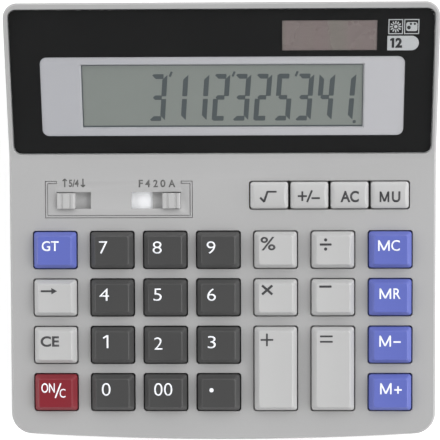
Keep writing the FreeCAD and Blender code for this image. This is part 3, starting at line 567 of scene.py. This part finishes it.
finishes = {
    "case_plastic": moulded_plastic("case_plastic", (0.338, 0.337, 0.338), 0.5, 2600, 0.00004),
    "clear_panel": clear_acrylic(),
    "black_film": printed_black(),
    "silver_frame": silver_paint(),
    "display_grey": display_polariser(),
    "dark_plastic": moulded_plastic("dark_plastic", (0.04, 0.04, 0.043), 0.55, 2600, 0.00004),
    "solar_film": solar_glass(),
    "key_dark": moulded_plastic("key_dark", (0.047, 0.047, 0.047), 0.42, 3600, 0.00002),
    "key_light": moulded_plastic("key_light", (0.405, 0.405, 0.405), 0.42, 3600, 0.00002, 0.03),
    "key_blue": moulded_plastic("key_blue", (0.094, 0.119, 0.40), 0.42, 3600, 0.00002, 0.04),
    "key_red": moulded_plastic("key_red", (0.181, 0.0115, 0.02), 0.42, 3600, 0.00002, 0.04),
    "switch_grey": moulded_plastic("switch_grey", (0.39, 0.39, 0.39), 0.45, 3200, 0.00002),
    "guide_white": white_with_painted_glow(),
    "circuit_board": board_laminate(),
    "dome_rubber": soft_rubber("dome_rubber", (0.58, 0.58, 0.55), (0.68, 0.68, 0.66)),
    "chip_black": smooth_skin("chip_resin", (0.008, 0.008, 0.009), (0.015, 0.015, 0.016), 0.4, 300),
    "capacitor_brown": smooth_skin(
        "capacitor_glaze", (0.27, 0.13, 0.035), (0.36, 0.19, 0.06), 0.35, 400),
    "ribbon_film": smooth_skin("ribbon_film", (0.48, 0.36, 0.15), (0.56, 0.44, 0.21), 0.45, 200),
    "lead_plastic": smooth_skin("lead_plastic", (0.04, 0.04, 0.04), (0.06, 0.06, 0.06), 0.5, 250),
    "contact_metal": plated_metal("contact_plating", (0.62, 0.62, 0.62), (0.42, 0.40, 0.36), 0.3),
    "cell_wrap": smooth_skin("cell_wrap", (0.05, 0.09, 0.145), (0.075, 0.12, 0.18), 0.3, 150),
    "foot_rubber": soft_rubber("foot_rubber", (0.018, 0.018, 0.02), (0.07, 0.07, 0.072)),
    "screw_metal": plated_metal("screw_zinc", (0.42, 0.42, 0.43), (0.22, 0.21, 0.2), 0.35),
}
white_ink = ink("white_ink", (0.80, 0.82, 0.87))
dark_ink = ink("dark_ink", (0.035, 0.035, 0.038))
grey_ink = ink("grey_ink", (0.09, 0.09, 0.088))
pale_print = ink("pale_print", (0.49, 0.485, 0.495), 0.6)
black_print = ink("black_print", (0.012, 0.012, 0.013), 0.6)
# the dark of the liquid crystal's segments, also used for the painted shadow round the display
crystal_dark = ink("crystal_dark", (0.072, 0.083, 0.088), 0.45)


def dress_cad_nodes():
    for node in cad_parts.values():
        for holder in node.material_slots:
            holder.material = finishes[holder.material.name.split(".")[0]]


# Camera, floor and light

def set_camera():
    seen = bpy.data.cameras.new("camera")
    seen.lens = 133.67
    seen.sensor_width = 36
    seen.clip_start = 0.05
    seen.clip_end = 20
    holder = bpy.data.objects.new("camera", seen)
    bpy.context.scene.collection.objects.link(holder)
    turned = Matrix.Identity(4)
    for axis, turn in camera_turns:
        turned = turned @ Matrix.Rotation(math.radians(turn), 4, axis)
    holder.matrix_world = Matrix.Translation(camera_place) @ turned
    bpy.context.scene.camera = holder


def set_light():
    """A light tent: bright in a band 25 to 50 degrees up, dimmer below it, dark above.

    Its strength depends on the direction: most on the right, least in front.
    """
    scene = bpy.context.scene
    scene.view_settings.view_transform = "Standard"
    scene.view_settings.look = "None"
    scene.world = bpy.data.worlds.new("light_tent")
    scene.world.use_nodes = True
    tent = Finish(scene.world, "Generated")
    across, along, height = tent.axis("X"), tent.axis("Y"), tent.axis("Z")
    everywhere, both_sides, right, back = 1.81, 3.63, 1.07, 0.91
    side = everywhere + across * across * both_sides + across * right + along * back
    below = 0.39
    rising, falling = tent.between(height, 0.36, 0.48), tent.between(height, 0.72, 0.82)
    strength = (below + rising * (1 - below)) * (1 - falling) * side
    tent.show(tent.node("ShaderNodeBackground", {}, {"Color": (1, 1, 1, 1), "Strength": strength}))


def lay_floor():
    floor = flat("floor", -3, 3, -3, 3)
    mix = Finish("paper_floor")
    tooth = mix.mottle(900, 3)
    floor.data.materials.append(mix.surface(
        base_color=mix.blend(tooth, (0.90, 0.90, 0.90), (0.93, 0.93, 0.93)),
        roughness=0.8 + (tooth - 0.5) * 0.1,
        normal=mix.bumps(tooth, 0.00002, 0.3),
        emission_color=(1, 1, 1, 1),
        emission_strength=0.25,
    ))


# Keys

def key_cap(name, body, top, height, flange, crown=0.0):
    """A hollow cap about its own middle, with sloping flanks and a scooped or crowned top."""
    wide, deep = body
    cap = block(name, wide, deep, cap_foot, cap_shoulder)
    with editing(cap):
        pick(cap, "EDGE", upright)
        round_off(cap_corner, 4)
        pick(cap, "FACE", faces_at(cap_shoulder))
        extrude(height - cap_shoulder)
        resize(top[0] / wide, top[1] / deep)
        for number in range(1, cap_strips):
            crease_across(0, top[0] * (number / cap_strips - 0.5))
            if crown:
                crease_across(1, top[1] * (number / cap_strips - 0.5))
    with editing(cap):
        if crown:
            crown_rows(cap, top[1] / 2, height, crown)
        else:
            scoop_rows(cap, top[0] / 2, height)
        pick(cap, "EDGE",
             lambda edge: middle(edge).z > height - cap_scoop - 0.05 and fold(edge, 0.25))
        round_off(cap_top_edge, 3)
        pick(cap, "EDGE",
             lambda edge: abs(middle(edge).z - cap_shoulder) < same_row and fold(edge, 0.25))
        round_off(cap_shoulder_edge, 2)
        underside(cap, body, top, flange, height)
    face_outwards(cap)
    smooth(cap)
    return cap


def rows_of_top(cap, height, axis):
    """Where the corners of the top lie along an axis, each row once."""
    shape = bmesh.from_edit_mesh(cap.data)
    spots = sorted(corner.co[axis] for corner in shape.verts if corner.co.z > height - near)
    rows = spots[:1]
    for spot in spots:
        if spot > rows[-1] + same_row:
            rows.append(spot)
    return rows


def pick_row(cap, height, axis, row):
    pick(cap, "VERT",
         lambda corner: corner.co.z > height - near and 0 <= corner.co[axis] - row < same_row)


def scoop_rows(cap, half, height):
    """Lowers the top row by row, most in the middle, so that a finger finds its place."""
    for row in rows_of_top(cap, height, 0):
        pick_row(cap, height, 0, row)
        drop = cap_scoop * (1 - (row / half) ** 2)
        lift(-drop - row_sink)


def crown_rows(cap, half, height, crown):
    """Arches the top from front to back: towards the ends it lies lower and reaches further out."""
    for row in rows_of_top(cap, height, 1):
        pick_row(cap, height, 1, row)
        share = 1 - (row / half) ** 2
        resize(1 - 0.07 * share, 1)
        lift((share - 1) * crown - row_sink)


def underside(cap, body, top, flange, height):
    """The flange, the hollow with even walls, and the plunger."""
    flange_size = body[0] + 2 * flange[0], body[1] + 2 * flange[1]
    inside = body[0] - 2 * cap_wall, body[1] - 2 * cap_wall
    hollow_high = height - cap_top_thickness
    pick(cap, "FACE", faces_at(cap_foot, -1))
    step_to(*flange_size, *body)
    extrude(-flange_thickness)
    step_to(*inside, *flange_size)
    extrude(min(cap_shoulder, hollow_high) - cap_foot + flange_thickness)
    if hollow_high > cap_shoulder:
        share = (hollow_high - cap_shoulder) / (height - cap_shoulder)
        narrow = [side - (side - edge + 2 * cap_wall) * share for side, edge in zip(inside, top)]
        extrude(hollow_high - cap_shoulder)
        resize(narrow[0] / inside[0], narrow[1] / inside[1])
        inside = narrow
    step_to(plunger_width, plunger_width, *inside)
    extrude(plunger_end - hollow_high)


def lettering(name, words, x0, x1, y0, y1, weight):
    """Flat letters that fill a measured place; the weight makes them bolder."""
    bpy.ops.object.select_all(action="DESELECT")
    bpy.ops.object.text_add()
    piece = bpy.context.object
    piece.name = name
    piece.data.body = words
    piece.data.resolution_u = 5
    piece.data.offset = weight
    bpy.ops.object.convert(target="MESH")
    fit_to(piece, x0, x1, y0, y1)
    return piece


def fit_to(piece, x0, x1, y0, y1):
    corners = [corner.co for corner in piece.data.vertices]
    low = Vector(min(corner[axis] for corner in corners) for axis in (0, 1))
    high = Vector(max(corner[axis] for corner in corners) for axis in (0, 1))
    across = (x1 - x0) / (high.x - low.x)
    along = (y1 - y0) / (high.y - low.y)
    shift = Matrix.Translation((x0 - low.x * across, y0 - low.y * along, 0))
    piece.data.transform(shift @ Matrix.Diagonal((across, along, 1, 1)))


def stroke(x0, y0, x1, y1, width=0.7):
    """A printed stroke from one point to another, its corners slightly rounded."""
    length = math.hypot(x1 - x0, y1 - y0)
    piece = flat("stroke", -length / 2, length / 2, -width / 2, width / 2)
    with editing(piece):
        pick_all()
        round_off(width * 0.2, 2, "VERTICES")
    turn = Matrix.Rotation(math.atan2(y1 - y0, x1 - x0), 4, "Z")
    piece.data.transform(Matrix.Translation(((x0 + x1) / 2, (y0 + y1) / 2, 0)) @ turn)
    return piece


def letter_m(x0, x1, y0, y1, width=0.7):
    left, right, centre = x0 + width / 2, x1 - width / 2, (x0 + x1) / 2
    return [
        stroke(left, y0, left, y1, width), stroke(right, y0, right, y1, width),
        stroke(left + 0.1, y1 - 0.3, centre, y0 + 0.3, width),
        stroke(right - 0.1, y1 - 0.3, centre, y0 + 0.3, width),
    ]


def lay_on(piece, cap):
    """Presses a flat print on a cap's top, creased so that it follows an arch, and thickens it."""
    with editing(piece):
        merge()
        for number in range(-legend_creases_each_side, legend_creases_each_side + 1):
            crease_across(1, number * legend_crease_pitch)
        pick_all()
        lift(over_the_caps)
    finish_with(
        piece, "SHRINKWRAP", target=cap, offset=0.0, wrap_method="PROJECT", use_project_z=True,
        use_negative_direction=True, use_positive_direction=False)
    finish_with(piece, "SOLIDIFY", thickness=legend_thickness, offset=0.2)
    face_outwards(piece)


def number_legend(words, x, width, low, high=None):
    top = high or low + 5.5
    return lambda: [lettering("legend", words, x, x + width, low, top, -0.008)]


def word_legend(words, x0, x1, y0, y1, weight=0.012):
    return lambda: [lettering("legend", words, x0, x1, y0, y1, weight)]


def one_legend():
    return [stroke(-2.1, -0.98, -2.1, 4.81, 0.78), stroke(-4.05, 3.45, -2.2, 4.6, 0.66)]


def point_legend():
    return [disc("legend", 0.95, -3.19, 1.4)]


def divide_legend():
    return [
        stroke(-6.0, 2.5, -0.73, 2.5, 0.95),
        disc("dot", 0.72, -3.37, 4.55), disc("dot", 0.72, -3.37, 0.47),
    ]


def times_legend():
    return [stroke(-6.1, 1.6, -1.5, 5.65, 1.05), stroke(-6.1, 5.65, -1.5, 1.6, 1.05)]


def minus_legend():
    return [stroke(-6.19, 5.08, -0.73, 5.08, 0.95)]


def plus_legend():
    return [stroke(-6.79, 13.3, -1.14, 13.3, 0.8), stroke(-3.96, 10.45, -3.96, 16.14, 0.8)]


def equals_legend():
    return [stroke(-5.88, 14.84, -0.23, 14.84, 0.8), stroke(-5.88, 12.42, -0.23, 12.42, 0.8)]


def memory_clear_legend():
    return letter_m(-5.67, -0.5, -0.38, 4.35) + [
        lettering("legend", "C", 0.15, 3.94, -0.45, 4.4, 0.006)]


def memory_recall_legend():
    return letter_m(-5.02, 0.15, -0.45, 4.24) + [
        lettering("legend", "R", 1.15, 4.3, -0.45, 4.24, 0.006)]


def memory_minus_legend():
    return letter_m(-5.08, 0.13, -0.44, 4.52) + [stroke(1.23, 1.66, 4.47, 1.66)]


def memory_plus_legend():
    return letter_m(-4.69, 0.43, -0.41, 4.56) + [
        stroke(1.58, 1.53, 4.97, 1.53), stroke(3.27, -0.16, 3.27, 3.23)]


def mark_up_legend():
    return letter_m(-4.67, -0.35, -3.15, 1.61, 0.8) + [
        lettering("legend", "U", 0.75, 4.55, -3.21, 1.61, 0.03)]


def on_clear_legend():
    return [
        lettering("legend", "ON", -6.31, -0.35, 0.25, 4.61, 0.01),
        stroke(-0.15, -2.1, 2.4, 4.55, 0.62),
        lettering("legend", "C", 1.85, 4.5, -1.9, 2.05, 0.0),
    ]


def shift_legend():
    head = disc("head", 1.4, 0, 0, corners=3)
    with editing(head):
        pick_all()
        bpy.ops.transform.rotate(value=math.radians(90), orient_axis="Z", center_override=(0, 0, 0))
    fit_to(head, -1.5, 1.1, 1.8, 4.62)
    return [stroke(-6.2, 3.21, -1.3, 3.21, 0.85), head]


def root_legend():
    return [
        stroke(-4.05, -0.95, -2.15, -2.95, 0.95), stroke(-2.3, -2.85, -0.75, 1.75, 0.95),
        stroke(-1.0, 1.6, 3.25, 1.6, 0.8),
    ]


def sign_legend():
    return [
        stroke(-5.24, -0.39, -1.15, -0.39, 0.85), stroke(-3.19, 1.75, -3.19, -2.56, 0.85),
        stroke(-1.1, -3.06, 1.11, 2.2, 0.85), stroke(0.84, -1.3, 4.6, -1.3, 0.85),
    ]


def key_places():
    """For each key: its kind of cap, its middle across and along, its finish and its legend."""
    columns = dict(zip(("left", "one", "two", "three", "four", "five", "right"), column_x))
    wide = {
        "key_gt": ("left", 0, "key_blue", word_legend("GT", -5.61, 1.94, -0.22, 4.26)),
        "key_right_shift": ("left", 1, "key_light", shift_legend),
        "key_ce": ("left", 2, "key_light", word_legend("CE", -6.48, 1.77, -0.38, 4.39, 0.03)),
        "key_on_c": ("left", 3, "key_red", on_clear_legend),
        "key_7": ("one", 0, "key_dark", number_legend("7", -5.59, 3.8, -1.38)),
        "key_8": ("two", 0, "key_dark", number_legend("8", -5.45, 4.02, -1.43)),
        "key_9": ("three", 0, "key_dark", number_legend("9", -5.13, 3.85, -1.47)),
        "key_4": ("one", 1, "key_dark", number_legend("4", -5.6, 4.34, -1.12)),
        "key_5": ("two", 1, "key_dark", number_legend("5", -5.16, 3.63, -1.16)),
        "key_6": ("three", 1, "key_dark", number_legend("6", -4.97, 3.81, -1.19)),
        "key_1": ("one", 2, "key_dark", one_legend),
        "key_2": ("two", 2, "key_dark", number_legend("2", -5.0, 3.7, -1.7)),
        "key_3": ("three", 2, "key_dark", number_legend("3", -4.8, 3.55, -1.1)),
        "key_0": ("one", 3, "key_dark", number_legend("0", -4.79, 3.9, -1.1, 4.65)),
        "key_00": ("two", 3, "key_dark", number_legend("00", -5.1, 8.1, -1.1, 4.65)),
        "key_point": ("three", 3, "key_dark", point_legend),
        "key_percent": ("four", 0, "key_light", word_legend("%", -6.72, -0.07, -0.05, 5.97, 0.012)),
        "key_multiply": ("four", 1, "key_light", times_legend),
        "key_divide": ("five", 0, "key_light", divide_legend),
        "key_minus": ("five", 1, "key_light", minus_legend),
        "key_mc": ("right", 0, "key_blue", memory_clear_legend),
        "key_mr": ("right", 1, "key_blue", memory_recall_legend),
        "key_m_minus": ("right", 2, "key_blue", memory_minus_legend),
        "key_m_plus": ("right", 3, "key_blue", memory_plus_legend),
    }
    found = {}
    for name, (column, row, finish, legend) in wide.items():
        found[name] = ("wide", columns[column], row_y[row], finish, legend)
    found["key_plus"] = ("tall", columns["four"], tall_y, "key_light", plus_legend)
    found["key_equals"] = ("tall", columns["five"], tall_y, "key_light", equals_legend)
    small = {
        "key_square_root": root_legend,
        "key_sign": sign_legend,
        "key_ac": word_legend("AC", -4.14, 4.02, -3.17, 1.92, 0.03),
        "key_mu": mark_up_legend,
    }
    for x, (name, legend) in zip(small_x, small.items()):
        found[name] = ("small", x, small_y, "key_light", legend)
    return found


def make_keys():
    caps = {
        "wide": key_cap("wide_cap", (19.0, 16.202), (14.8, 12.702), key_height, (1.3, 1.3)),
        "tall": key_cap("tall_cap", (19.0, 37.504), (14.8, 34.004), key_height, (1.3, 1.3)),
        "small": key_cap(
            "small_cap", (16.85, 11.9), (14.25, 10.1), small_key_height, (0.0, 1.3), 0.7),
    }
    for name, (kind, x, y, finish, legend) in key_places().items():
        cap = twin(caps[kind], name + "_cap")
        place(cap, keyboard, x, y)
        fit_out(cap, finish, name, name)
        print_on_key = join(name + "_legend", legend())
        lay_on(print_on_key, caps[kind])
        place(print_on_key, keyboard, x, y)
        fit_out(print_on_key, finish, name, finish=dark_ink if finish == "key_light" else white_ink)
    for cap in caps.values():
        bpy.data.objects.remove(cap)


# Display

def segment(x0, x1, y0, y1, cuts):
    """One segment of a digit, with some of its corners cut: each cut is right, top and size."""
    piece = flat("segment", x0, x1, y0, y1)
    with editing(piece):
        for right, top, size in cuts:
            spot = Vector((x1 if right else x0, y1 if top else y0, 0))
            pick(piece, "VERT", lambda corner: (corner.co - spot).length < near)
            round_off(size, 1, "VERTICES")
        pick_all()
        round_off(0.3, 3, "VERTICES")
    return piece


def mirrored(piece, across, along, shift=0.0):
    other = twin(piece, "segment")
    other.data.transform(Matrix.Translation((shift, 0, 0)) @ Matrix.Diagonal((across, along, 1, 1)))
    return other


def digit_segments():
    """The seven segments about the middle of a digit's right side, upright and flat."""
    right_top = segment(-1.1, 1.1, 0.6, 10.1, ((0, 1, 2.0), (0, 0, 0.25), (1, 0, 0.25)))
    top = segment(-5.6, -0.6, 8.4, 10.6, ((0, 0, 1.6), (0, 1, 0.6), (1, 0, 0.3), (1, 1, 0.3)))
    left_top = mirrored(right_top, -1, 1, -4.75)
    middle_cuts = ((0, 0, 0.85), (0, 1, 0.85), (1, 0, 0.2), (1, 1, 0.2))
    return {
        "a": top,
        "b": right_top,
        "c": mirrored(right_top, 1, -1),
        "d": mirrored(top, 1, -1),
        "e": mirrored(left_top, 1, -1),
        "f": left_top,
        "g": segment(-4.7, -0.85, -1.0, 1.0, middle_cuts),
    }


def set_down(piece, thickness, offset, plane, height, finish, slot):
    """Thickens a flat print of the case, or a strip of painted shadow, and lays it at a height over
    its plane.
    """
    finish_with(piece, "SOLIDIFY", thickness=thickness, offset=offset)
    face_outwards(piece)
    place(piece, plane, z=height)
    fit_out(piece, slot, "case", finish=finish)


def make_number():
    """The number shown: ten digits against the right side, a point and three tick marks."""
    lit = {"1": "bc", "2": "abged", "3": "abgcd", "4": "fgbc", "5": "afgcd"}
    shapes = digit_segments()
    pitch = 9.22
    last_x = 57.37
    middle_y = 26.8
    shown = "3112325341"
    slant = Matrix.Identity(4)
    slant[0][1] = math.tan(math.radians(4.2))
    pieces = []
    for number, digit in enumerate(shown):
        x = last_x - pitch * (len(shown) - 1 - number)
        marks = [twin(shapes[letter], "segment") for letter in lit[digit]]
        if number in (0, 3, 6):
            marks.append(stroke(2.1, 9.4, 2.9, 11.7, 1.0))
        if number == len(shown) - 1:
            point_cuts = ((0, 0, 0.3), (1, 1, 0.3), (0, 1, 0.3), (1, 0, 0.3))
            marks.append(segment(1.3, 2.7, -11.9, -10.5, point_cuts))
        for mark in marks:
            mark.data.transform(Matrix.Translation((x, middle_y, 0)) @ slant)
        pieces += marks
    for shape in shapes.values():
        bpy.data.objects.remove(shape)
    number = join("display_number", pieces)
    set_down(number, 0.03, 1, display, glass_face, crystal_dark, "display_grey")


def make_painted_screen_shadow():
    """A painted shadow round the liquid crystal: dark strips on the glass, widest at the front,
    where the frame stands clear.
    """
    left, right, front, back = -61.75, 62.25, 13.45, 41.55
    inner_front, inner_back = front + 0.7, back - 0.3
    edge = join("screen_edge", [
        flat("edge", left, right, front, inner_front), flat("edge", left, right, inner_back, back),
        flat("edge", left, left + 0.45, inner_front, inner_back),
        flat("edge", right - 0.3, right, inner_front, inner_back),
    ])
    # the strips are painted shadow, in the same dark as the segments
    set_down(edge, 0.02, 1, display, glass_face, crystal_dark, "display_grey")


def make_lens():
    lens = block("lens", *lens_size, -lens_thickness, 0)
    with editing(lens):
        pick(lens, "EDGE", upright)
        round_off(3.6, 8)
        pick(lens, "EDGE", lambda edge: middle(edge).z > -near and fold(edge))
        round_off(0.5, 3)
    smooth(lens)
    place(lens, display, y=lens_front + lens_size[1] / 2)
    fit_out(lens, "clear_panel", "case", "display_lens")


def box_outline(name, x0, x1, y0, y1, line):
    return [
        flat(name, x0, x1, y1 - line, y1), flat(name, x0, x1, y0, y0 + line),
        flat(name, x0, x0 + line, y0, y1), flat(name, x1 - line, x1, y0, y1),
    ]


def sun_sign():
    x, y = 75.79, 58.29
    pieces = box_outline("sign", 72.62, 78.96, 54.99, 61.59, 0.42)
    pieces.append(disc("sun", 0.75, x, y))
    rays = 12
    for number in range(rays):
        ray = segment(1.15, 2.5, -0.27, 0.27, ((0, 0, 0.2), (0, 1, 0.2)))
        turn = Matrix.Rotation(math.radians(number * 360 / rays), 4, "Z")
        ray.data.transform(Matrix.Translation((x, y, 0)) @ turn)
        pieces.append(ray)
    return pieces


def battery_sign():
    body = flat("cell", 80.3, 85.2, 56.3, 60.3)
    with editing(body):
        pick_all()
        round_off(0.95, 4, "VERTICES")
    return box_outline("sign", 79.44, 85.97, 54.99, 61.59, 0.42) + [body]


def pill_sign():
    pill = flat("pill", 72.31, 86.0, 47.86, 54.27)
    with editing(pill):
        pick(pill, "VERT", lambda corner: corner.co.x > 80)
        round_off(3.19, 8, "VERTICES")
    return [pill]


def make_prints():
    """The pale signs and the plain number printed behind the lens."""
    pale = join("lens_print", sun_sign() + battery_sign() + pill_sign())
    dark = join("lens_print_dark", [
        stroke(74.75, 49.0, 74.75, 53.35, 1.1), stroke(73.5, 52.3, 74.6, 53.0, 0.8),
        lettering("digit", "2", 75.8, 78.75, 49.0, 53.35, 0.05),
        disc("pole", 0.8, 81.5, 57.9), disc("band", 0.5, 82.3, 59.5), disc("band", 0.5, 84.0, 59.5),
    ])
    prints = ((pale, pale_print, pale_print_face), (dark, black_print, dark_print_face))
    for piece, finish, face in prints:
        with editing(piece):
            merge()
        set_down(piece, 0.035, -1, display, face, finish, "black_film")


def make_case_prints():
    """Legends of the two slide switches, printed on the case."""
    pieces = [lettering("legend", "5/4", -68.4, -64.0, -12.9, -9.6, 0.028)]
    barb = 0.95
    for x, tip, tail in ((-70.25, -9.3, -13.0), (-62.1, -12.9, -9.2)):
        back = tip + (barb if tip < tail else -barb)
        pieces += [
            stroke(x, tip, x, tail, 0.6),
            stroke(x - barb, back, x, tip, 0.55), stroke(x + barb, back, x, tip, 0.55),
        ]
    letters = (
        ("F", -36.3, 0.95), ("4", -33.2, 1.1), ("2", -29.7, 1.0), ("0", -26.4, 1.15),
        ("A", -22.4, 1.5),
    )
    for letter, x, half in letters:
        pieces.append(lettering("legend", letter, x - half, x + half, -13.1, -9.75, 0.028))
    set_down(join("switch_legends", pieces), 0.04, 0, keyboard, 0, grey_ink, "case_plastic")


# Small parts

def cad_copy(node, name, plane):
    """A merged copy of a CAD node in a plane's own millimetres, so that it can be worked on."""
    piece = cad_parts[node].copy()
    piece.data = piece.data.copy()
    piece.name = piece.data.name = name
    piece.parent = None
    for key in list(piece.keys()):
        del piece[key]
    bpy.context.scene.collection.objects.link(piece)
    piece.data.transform((plane @ to_metres).inverted())
    choose(piece)
    bpy.ops.mesh.customdata_custom_splitnormals_clear()
    with editing(piece):
        pick_all()
        bpy.ops.mesh.remove_doubles(threshold=0.002)
        bpy.ops.mesh.dissolve_limited(angle_limit=math.radians(0.6))
    return piece


def turn_to(piece, plane, other):
    """Takes a piece from one plane's millimetres to another's."""
    piece.data.transform((other @ to_metres).inverted() @ plane @ to_metres)


def ease(piece, size, steps, wanted):
    with editing(piece):
        pick(piece, "EDGE", wanted)
        round_off(size, steps)


def lies_at(edge, height):
    return all(abs(corner.co.z - height) < same_row for corner in edge.verts)


def on_surface(edge):
    """True for the edges of the openings, slots and recesses in the plane that is in use."""
    return lies_at(edge, 0) and fold(edge, 1.2)


def beside_switches(edge):
    spot = middle(edge)
    return spot.x < 5 and -28 < spot.y < -9


def outline_cut(edge):
    """True for the two edges of the cut that runs round the case's outline."""
    spot = middle(edge)
    outside = abs(spot.x) > 85 or spot.y < -85 or spot.y > 88
    slanted = any(0.5 < abs(face.normal.z) < 0.9 for face in edge.link_faces)
    return outside and slanted and fold(edge, 0.4)


def parting_edge(edge):
    """True along the outside where the two halves of the case meet."""
    spot = middle(edge)
    outward = Vector((spot.x, spot.y, 0)).normalized()
    outside = any(
        abs(face.normal.z) < 0.1 and face.normal.dot(outward) > 0.3 for face in edge.link_faces)
    return outside and lies_at(edge, parting_height) and fold(edge, 1.0)


def make_top_case():
    """The top case with its edges eased, and a raised line in the middle of its engraved one."""
    case = cad_copy("top_case", "top_case_shell", ground)
    ease(case, 0.42, 3, outline_cut)
    ease(case, 0.3, 1, parting_edge)
    turn_to(case, ground, keyboard)
    with editing(case):
        pick(case, "FACE",
             lambda face: abs(middle(face).z - groove_floor) < near and face.normal.z > 0.99)
        extrude(-0.5)
        bpy.ops.mesh.inset(thickness=0.36, depth=0.72)
    ease(case, 0.08, 1,
         lambda edge: on_surface(edge) and not beside_switches(edge) and middle(edge).y < -9)
    ease(case, 0.1, 2, lambda edge: on_surface(edge) and beside_switches(edge))
    turn_to(case, keyboard, display)
    ease(case, 0.22, 2, on_surface)
    smooth(case)
    place(case, display)
    fit_out(case, "case_plastic", "case", "top_case")


def make_bottom_case():
    case = cad_copy("bottom_case", "bottom_case_shell", ground)
    ease(case, 0.5, 3, outline_cut)
    ease(case, 0.3, 1, parting_edge)
    smooth(case)
    place(case, ground)
    fit_out(case, "case_plastic", "case", "bottom_case")


def make_door():
    door = cad_copy("battery_door", "battery_cover", ground)
    ease(door, 0.12, 2, lambda edge: fold(edge, 0.7))
    smooth(door)
    place(door, ground)
    fit_out(door, "case_plastic", "door", "battery_door")


def make_knobs():
    """The two slide switches; their backs are moved forward, so that a dark gap shows behind."""
    for kind in ("rounding", "decimal"):
        node, body = kind + "_switch", kind + "_slider"
        knob = cad_copy(node, node + "_knob", keyboard)
        with editing(knob):
            pick(knob, "VERT", lambda corner: abs(corner.co.y - knob_back) < near)
            bpy.ops.transform.translate(value=(0, -knob_gap, 0))
        ease(knob, 0.12, 2, lambda edge: fold(edge, 0.5) and middle(edge).z > 0.1)
        smooth(knob)
        place(knob, keyboard)
        fit_out(knob, "switch_grey", body, node)


def make_screws():
    """Pan-head screws with a cross recess, four alike, their heads downwards."""
    head_radius, head_low, head_high = 2.6, 3.4, 5.2
    recess_length, recess_width, recess_high = 2.9, 0.62, 4.5
    shank_width, shank_high = 2.0, 13.2
    bpy.ops.object.select_all(action="DESELECT")
    bpy.ops.mesh.primitive_cylinder_add(
        vertices=40, radius=head_radius, depth=head_high - head_low,
        location=(0, 0, (head_low + head_high) / 2))
    screw = just_added("screw")
    with editing(screw):
        pick(screw, "EDGE", lambda edge: middle(edge).z < head_low + near and fold(edge))
        round_off(0.7, 5)
        pick(screw, "FACE", faces_up)
        resize(0.5, 0.5)
    recess = []
    for turn in (0, 90):
        slot = block("recess", recess_length, recess_width, head_low - 0.5, recess_high)
        with editing(slot):
            pick(slot, "FACE", faces_up)
            resize(0.45, 0.7)
        slot.data.transform(Matrix.Rotation(math.radians(turn), 4, "Z"))
        recess.append(slot)
    for slot in recess:
        finish_with(screw, "BOOLEAN", object=slot, operation="DIFFERENCE", solver="EXACT")
        bpy.data.objects.remove(slot)
    shank = block("shank", shank_width, shank_width, head_high - 0.1, shank_high)
    with editing(shank):
        pick(shank, "EDGE", upright)
        round_off(0.9, 5)
    screw = join("screws", [screw, shank])
    copies = []
    for x in screw_x:
        for y in screw_y:
            copy = twin(screw, "screw")
            copy.data.transform(Matrix.Translation((x, y, 0)))
            copies.append(copy)
    bpy.data.objects.remove(screw)
    screws = join("cross_head_screws", copies)
    face_outwards(screws)
    smooth(screws)
    place(screws, ground)
    fit_out(screws, "screw_metal", "case", "case_screws")


def make_feet():
    pads = []
    for x in foot_x:
        for y in foot_y:
            pad = disc("pad", foot_radius, x, y, 48)
            with editing(pad):
                pick_all()
                extrude(foot_height)
                pick(pad, "EDGE", lambda edge: middle(edge).z < near)
                round_off(0.5, 4)
            pads.append(pad)
    feet = join("foot_pads", pads)
    face_outwards(feet)
    smooth(feet)
    place(feet, ground)
    fit_out(feet, "foot_rubber", "case", "feet")


set_camera()
set_light()
lay_floor()
dress_cad_nodes()
make_top_case()
make_bottom_case()
make_door()
make_keys()
make_lens()
make_number()
make_painted_screen_shadow()
make_prints()
make_case_prints()
make_knobs()
make_screws()
make_feet()
